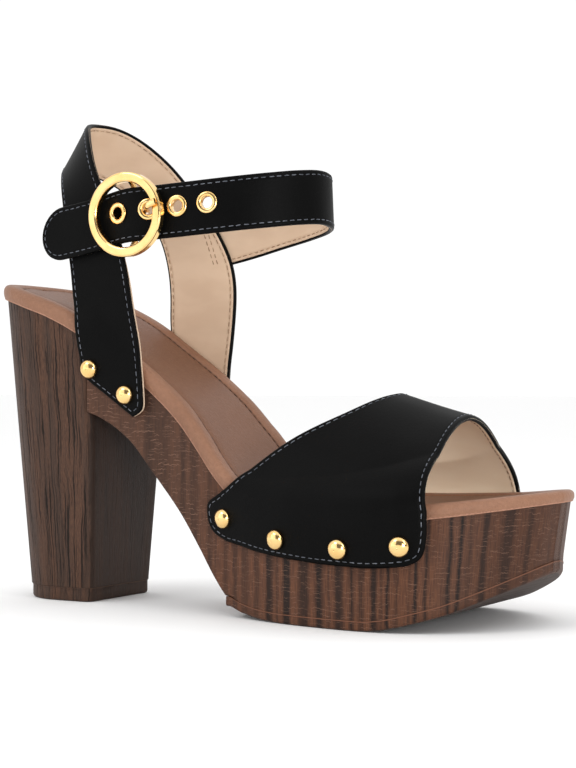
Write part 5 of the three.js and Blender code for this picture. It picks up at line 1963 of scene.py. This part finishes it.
@dataclass
class Buckle:
    """The round ring with its bar, the prong and the leather loop."""

    route: StrapRoute
    width: float = 30.3
    rim: float = 3.5
    depth: float = 3.6
    chamfer: float = 0.55
    soft_edge: float = 0.16
    ring_sides: int = 144
    bar_steps: int = 60
    prong_tip: float = 3.6
    # Columns: share of the way from the eyelet to the rim, aside, rise.
    prong_ahead: tuple = (
        (0.048, 0.087, 0.487), (0.218, 0.26, 0.709), (0.544, 0.61, 0.979),
        (0.92, 1.0, 1.0), (1.08, 1.13, 1.0),
    )
    tab_thick: float = 1.2
    tab_height: float = 12.0
    tab_tail: float = 21.0
    tab_sink: float = 5.0
    tab_slant: float = 0.12

    @property
    def low(self) -> float:
        """Height of the ring's back over the strap's inner face."""
        return UPPER_WALL + GAP + FACET_SLACK

    def placed(self, local: Array) -> Array:
        """Local points, in any grouping, in the shoe's frame."""
        pose = self.route.buckle_pose()
        return local @ pose[:3, :3].T + pose[:3, 3]

    def ring(self) -> bpy.types.Object:
        """The ring, its edges broken."""
        inside, outside = self.width / 2 - self.rim, self.width / 2
        low, high, cut = self.low, self.low + self.depth, self.chamfer
        corners = np.array([
            (inside, low + cut), (inside + cut, low),
            (outside - cut, low), (outside, low + cut),
            (outside, high - cut), (outside - cut, high),
            (inside + cut, high), (inside, high - cut),
        ])
        soft = []
        for k, corner in enumerate(corners):
            before, after = corners[k - 1], corners[(k + 1) % len(corners)]
            for other in (before, after):
                soft.append(corner + unit(other - corner) * self.soft_edge)
        points, faces = lathe(np.array(soft), self.ring_sides, self.route.buckle_pose())
        return make_piece("buckle_ring", points, faces, sharp=20)

    def bar(self) -> bpy.types.Object:
        """The bar that crosses the ring behind the strap."""
        root, seat = self.width / 2 - self.rim / 2, self.low + self.route.bar_radius
        sink = -self.route.bar_sink
        knee = sink + (seat - sink) * 0.38
        half = [(root, seat), (root * 0.85, knee), (root * 0.62, sink), (root * 0.45, sink)]
        path = [(0, -y, z) for y, z in half] + [(0, y, z) for y, z in half[::-1]]
        line = spline(np.array(path, float), np.linspace(0, 1, self.bar_steps))
        radii = np.full(self.bar_steps, self.route.bar_radius)
        rings = tube(line, radii, 16, np.array([1.0, 0, 0]))
        return make_body("buckle_bar", self.placed(rings), sharp=60)

    def prong(self) -> bpy.types.Object:
        """The prong, from its eye round the bar to its squared tip on the ring."""
        route = self.route
        second = route.eyelet_places()[1] - route.buckle_at
        rim_middle = self.width / 2 - self.rim / 2
        rest = self.low + self.depth + GAP + route.prong_radius
        eye = route.bar_radius + GAP + route.prong_radius
        lift, sink = route.eyelet_lift, -route.bar_sink
        rows = ((0.372 * rim_middle, 0.0, 0.053), (0.9 * second, 0.0, 0.286))
        rows += tuple(
            (second + (rim_middle - second) * reach, aside, rise)
            for reach, aside, rise in self.prong_ahead
        )
        path = [(eye, lift, sink)]
        for x, aside, rise in rows:
            path.append((x, lift + (self.prong_tip - lift) * aside, sink + (rest - sink) * rise))
        line = spline(np.array(path), np.linspace(0, 1, 56))
        run = arc_length(line) / arc_length(line)[-1]
        wide = route.prong_radius * (1 + 0.5 * ease(run, 0.5, 0.85))
        thick = route.prong_radius * (1 - 0.05 * ease(run, 0.6, 0.9))
        rings = tube(line, np.column_stack([wide, thick]), 16)
        turn = np.linspace(0, 2 * math.pi, 40)
        loop = np.column_stack([eye * np.cos(turn), np.full(40, lift), sink + eye * np.sin(turn)])
        hoop = tube(loop, np.full(40, route.prong_radius), 12)
        points = np.vstack([rings.reshape(-1, 3), hoop.reshape(-1, 3)])
        faces = np.vstack([loft(rings), loft(hoop) + rings.shape[0] * rings.shape[1]])
        return make_piece("buckle_pin", self.placed(points), faces, sharp=50)

    def tab(self) -> bpy.types.Object:
        """The leather loop that holds the bar."""
        reach = self.route.bar_radius + GAP + self.tab_thick / 2
        sink = -self.route.bar_sink
        turn = np.linspace(-0.5, 0.5, 21) * math.pi
        bend = np.column_stack([reach * np.cos(turn), sink + reach * np.sin(turn)])
        tail = np.linspace(-self.tab_tail, -0.5 * self.tab_tail, 8)
        low = np.column_stack([tail, -self.tab_sink + self.tab_slant * (tail + self.tab_tail / 2)])
        path = np.vstack([low, bend, [(-1.7 * reach, sink + 0.72 * reach)]])
        run = unit(np.gradient(path, axis=0))
        side = np.column_stack([-run[:, 1], run[:, 0]])
        half, high = self.tab_thick / 2, self.tab_height / 2
        across = high * np.array([1, 0.97, 0.5, 0, -0.5, -0.97, -1])
        top = np.stack([
            np.column_stack([path[:, 0], np.full(len(path), y), path[:, 1]]) for y in across
        ], 1)
        shift = np.stack([side[:, 0], np.zeros(len(path)), side[:, 1]], 1)[:, None] * half
        rings = np.concatenate([top + shift, (top - shift)[:, ::-1]], 1)
        return make_body("buckle_loop", self.placed(rings), sharp=40)

    def build(self, gold: bpy.types.Material, leather: bpy.types.Material) -> None:
        """Builds and dresses the buckle."""
        fit(self.ring(), gold, "gold_metal", "buckle_frame")
        fit(self.bar(), gold, "gold_metal")
        fit(self.prong(), gold, "gold_metal", "buckle_prong")
        fit(self.tab(), leather, "black_leather", "buckle_tab")


@dataclass
class Studs:
    """The domed studs that hold the upper to the sole."""

    width: float = 7.0
    rise: float = 2.5
    segments: int = 40

    def spots(self) -> list[tuple[str, Side, float, float]]:
        """Name, side, x and z of each stud."""
        made = []
        for side in Side:
            word = side.name.lower()
            for k, (along, z) in enumerate(VAMP_STUDS):
                made.append((f"vamp_{word}_{k + 1}", side, float(along_x(along)), z))
            for k, (reach, tall) in enumerate(SLING_STUDS):
                x = ANKLE_BACK + ANKLE_REACH * reach
                made.append((f"sling_{word}_{k + 1}", side, x, ANKLE_FOOT + ANKLE_TALL * tall))
        return made

    def pose(self, side: Side, x: float, z: float) -> Array:
        """Placement of one stud on the wall."""
        slope = float(body_width(side, x + 1) - body_width(side, x - 1))
        flare = (RIM_OVER + FACET_SLACK) / FOOT_FLARE
        out = unit(np.array([-slope, 2 * side.value, -2 * flare]))
        first = unit(np.cross(np.array([0, 0, 1.0]), out))
        place = np.array([x, side.value * float(hug_width(side, np.array(x), np.array(z))), z])
        return placement(first, np.cross(out, first), out, place)

    def build(self, gold: bpy.types.Material) -> None:
        """Builds the studs."""
        foot, half = UPPER_WALL + FACET_SLACK, self.width / 2
        turn = np.linspace(0, math.pi / 2, 14)
        profile = [(0.02, foot - 0.35), (half - 0.5, foot - 0.35), (half - 0.1, foot - 0.2)]
        for angle in turn[:-1]:
            rise = 0.1 + 0.92 * math.sin(angle) ** 0.95
            profile.append((half * math.cos(angle) ** 0.9, foot + self.rise * rise))
        profile.append((0.02, foot + self.rise * 1.02))
        for name, side, x, z in self.spots():
            points, faces = lathe(np.array(profile), self.segments, self.pose(side, x, z))
            fit(make_piece(f"dome_{name}", points, faces), gold, "gold_metal", f"stud_{name}")


@dataclass
class Studio:
    """Camera, floor and lights."""

    place: tuple = (0.41775, -0.56784, 0.080)
    turn: float = 30.0
    tilt: float = 0.094
    lens: float = 85.3125
    sensor: float = 36.0
    clip: tuple = (0.01, 50.0)
    dim: float = 0.18
    bright: float = 1.05
    overhead: float = 1.25
    reach: float = 14.0
    paint: tuple = (0.97, 0.97, 0.97, 1)
    # Each lamp's name, place, target, two sides and watts.
    lamps: tuple = (
        ("key", (-0.45, -1.0, 0.95), (0.08, 0.0, 0.07), (0.6, 0.5), 3.5),
        ("left", (-0.52, -1.0, 0.2), (0.02, 0.0, 0.12), (0.95, 0.8), 2.7),
        ("right", (1.1, -0.35, 0.7), (0.08, 0.0, 0.07), (0.35, 0.8), 3.1),
        ("front", (0.85, -0.72, 0.12), (0.12, 0.03, 0.06), (0.35, 0.3), 4.5),
    )

    @staticmethod
    def hang(name: str, data: bpy.types.ID, place: tuple, ahead: Vector) -> bpy.types.Object:
        """Places a camera or a lamp.

        Args:
            name: its name.
            data: the camera or the lamp.
            place: where it stands.
            ahead: where it looks.

        Returns:
            The linked object.
        """
        made = bpy.data.objects.new(name, data)
        bpy.context.scene.collection.objects.link(made)
        made.location = place
        made.rotation_mode = "QUATERNION"
        made.rotation_quaternion = ahead.to_track_quat("-Z", "Y")
        return made

    def camera(self) -> None:
        """The photograph's view."""
        data = bpy.data.cameras.new("photo_view")
        data.lens, data.sensor_width = self.lens, self.sensor
        data.clip_start, data.clip_end = self.clip
        turn, tilt = math.radians(self.turn), math.radians(self.tilt)
        level = math.cos(tilt)
        ahead = Vector((-math.sin(turn) * level, math.cos(turn) * level, math.sin(tilt)))
        bpy.context.scene.camera = self.hang("photo_view", data, self.place, ahead)

    def floor(self) -> None:
        """A plain white floor."""
        mesh = bpy.data.meshes.new("floor")
        signs = ((-1, -1), (1, -1), (1, 1), (-1, 1))
        corners = [(x * self.reach, y * self.reach, 0) for x, y in signs]
        mesh.from_pydata(corners, [], [(0, 1, 2, 3)])
        floor = bpy.data.objects.new("floor", mesh)
        bpy.context.scene.collection.objects.link(floor)
        paint = Surface("floor_paint")
        look = paint.finish(Base_Color=self.paint, Roughness=0.85, Specular_IOR_Level=0.1)
        mesh.materials.append(look)

    def lamp(self, name: str, place: tuple, target: tuple, size: tuple, power: float) -> None:
        """One soft area light.

        Args:
            name: the light's name.
            place: where it hangs.
            target: what it points at.
            size: its two sides.
            power: its watts.
        """
        data = bpy.data.lights.new(name, "AREA")
        data.shape, data.energy = "RECTANGLE", power
        data.size, data.size_y = size
        self.hang(name, data, place, Vector(target) - Vector(place))

    def world(self) -> None:
        """A studio that is white behind the shoe and overhead, and dim behind the camera."""
        world = bpy.data.worlds.new("studio")
        bpy.context.scene.world = world
        world.use_nodes = True
        shader = Shader(world.node_tree)
        back = shader.tree.nodes["Background"]
        back.inputs[0].default_value = (1.0, 1.0, 1.0, 1.0)
        way = shader.place("Generated")
        _, _, up = shader.split(way)
        turn = math.radians(self.turn)
        ahead = (-math.sin(turn), math.cos(turn), 0.0)
        settings = {"operation": "DOT_PRODUCT"}
        facing = shader.node("ShaderNodeVectorMath", settings, {0: way, 1: ahead}, "Value")
        sides = self.dim + (self.bright - self.dim) * facing.step(-0.75, 0.1)
        overhead = up.step(0.5, 0.85)
        shader.plug(back.inputs[1], sides * (1 - overhead) + self.overhead * overhead)

    def build(self) -> None:
        """Sets up the camera, the floor, the lights and the plain view colours."""
        self.camera()
        self.floor()
        self.world()
        for lamp in self.lamps:
            self.lamp(*lamp)
        bpy.context.scene.view_settings.view_transform = "Standard"


def main() -> None:
    """Builds every sub-assembly."""
    logging.basicConfig(level=logging.INFO, format="%(name)s: %(message)s")
    Studio().build()
    outline = Outline()
    gold = Gold().make("pale_gold")
    work = Leatherwork()
    route = StrapRoute()
    Sole(outline).build()
    Footbed(outline).build()
    Vamp(work).build()
    AnkleUpper(work, route).build(gold)
    Buckle(route).build(gold, work.black)
    Studs().build(gold)


if __name__ == "__main__":
    main()
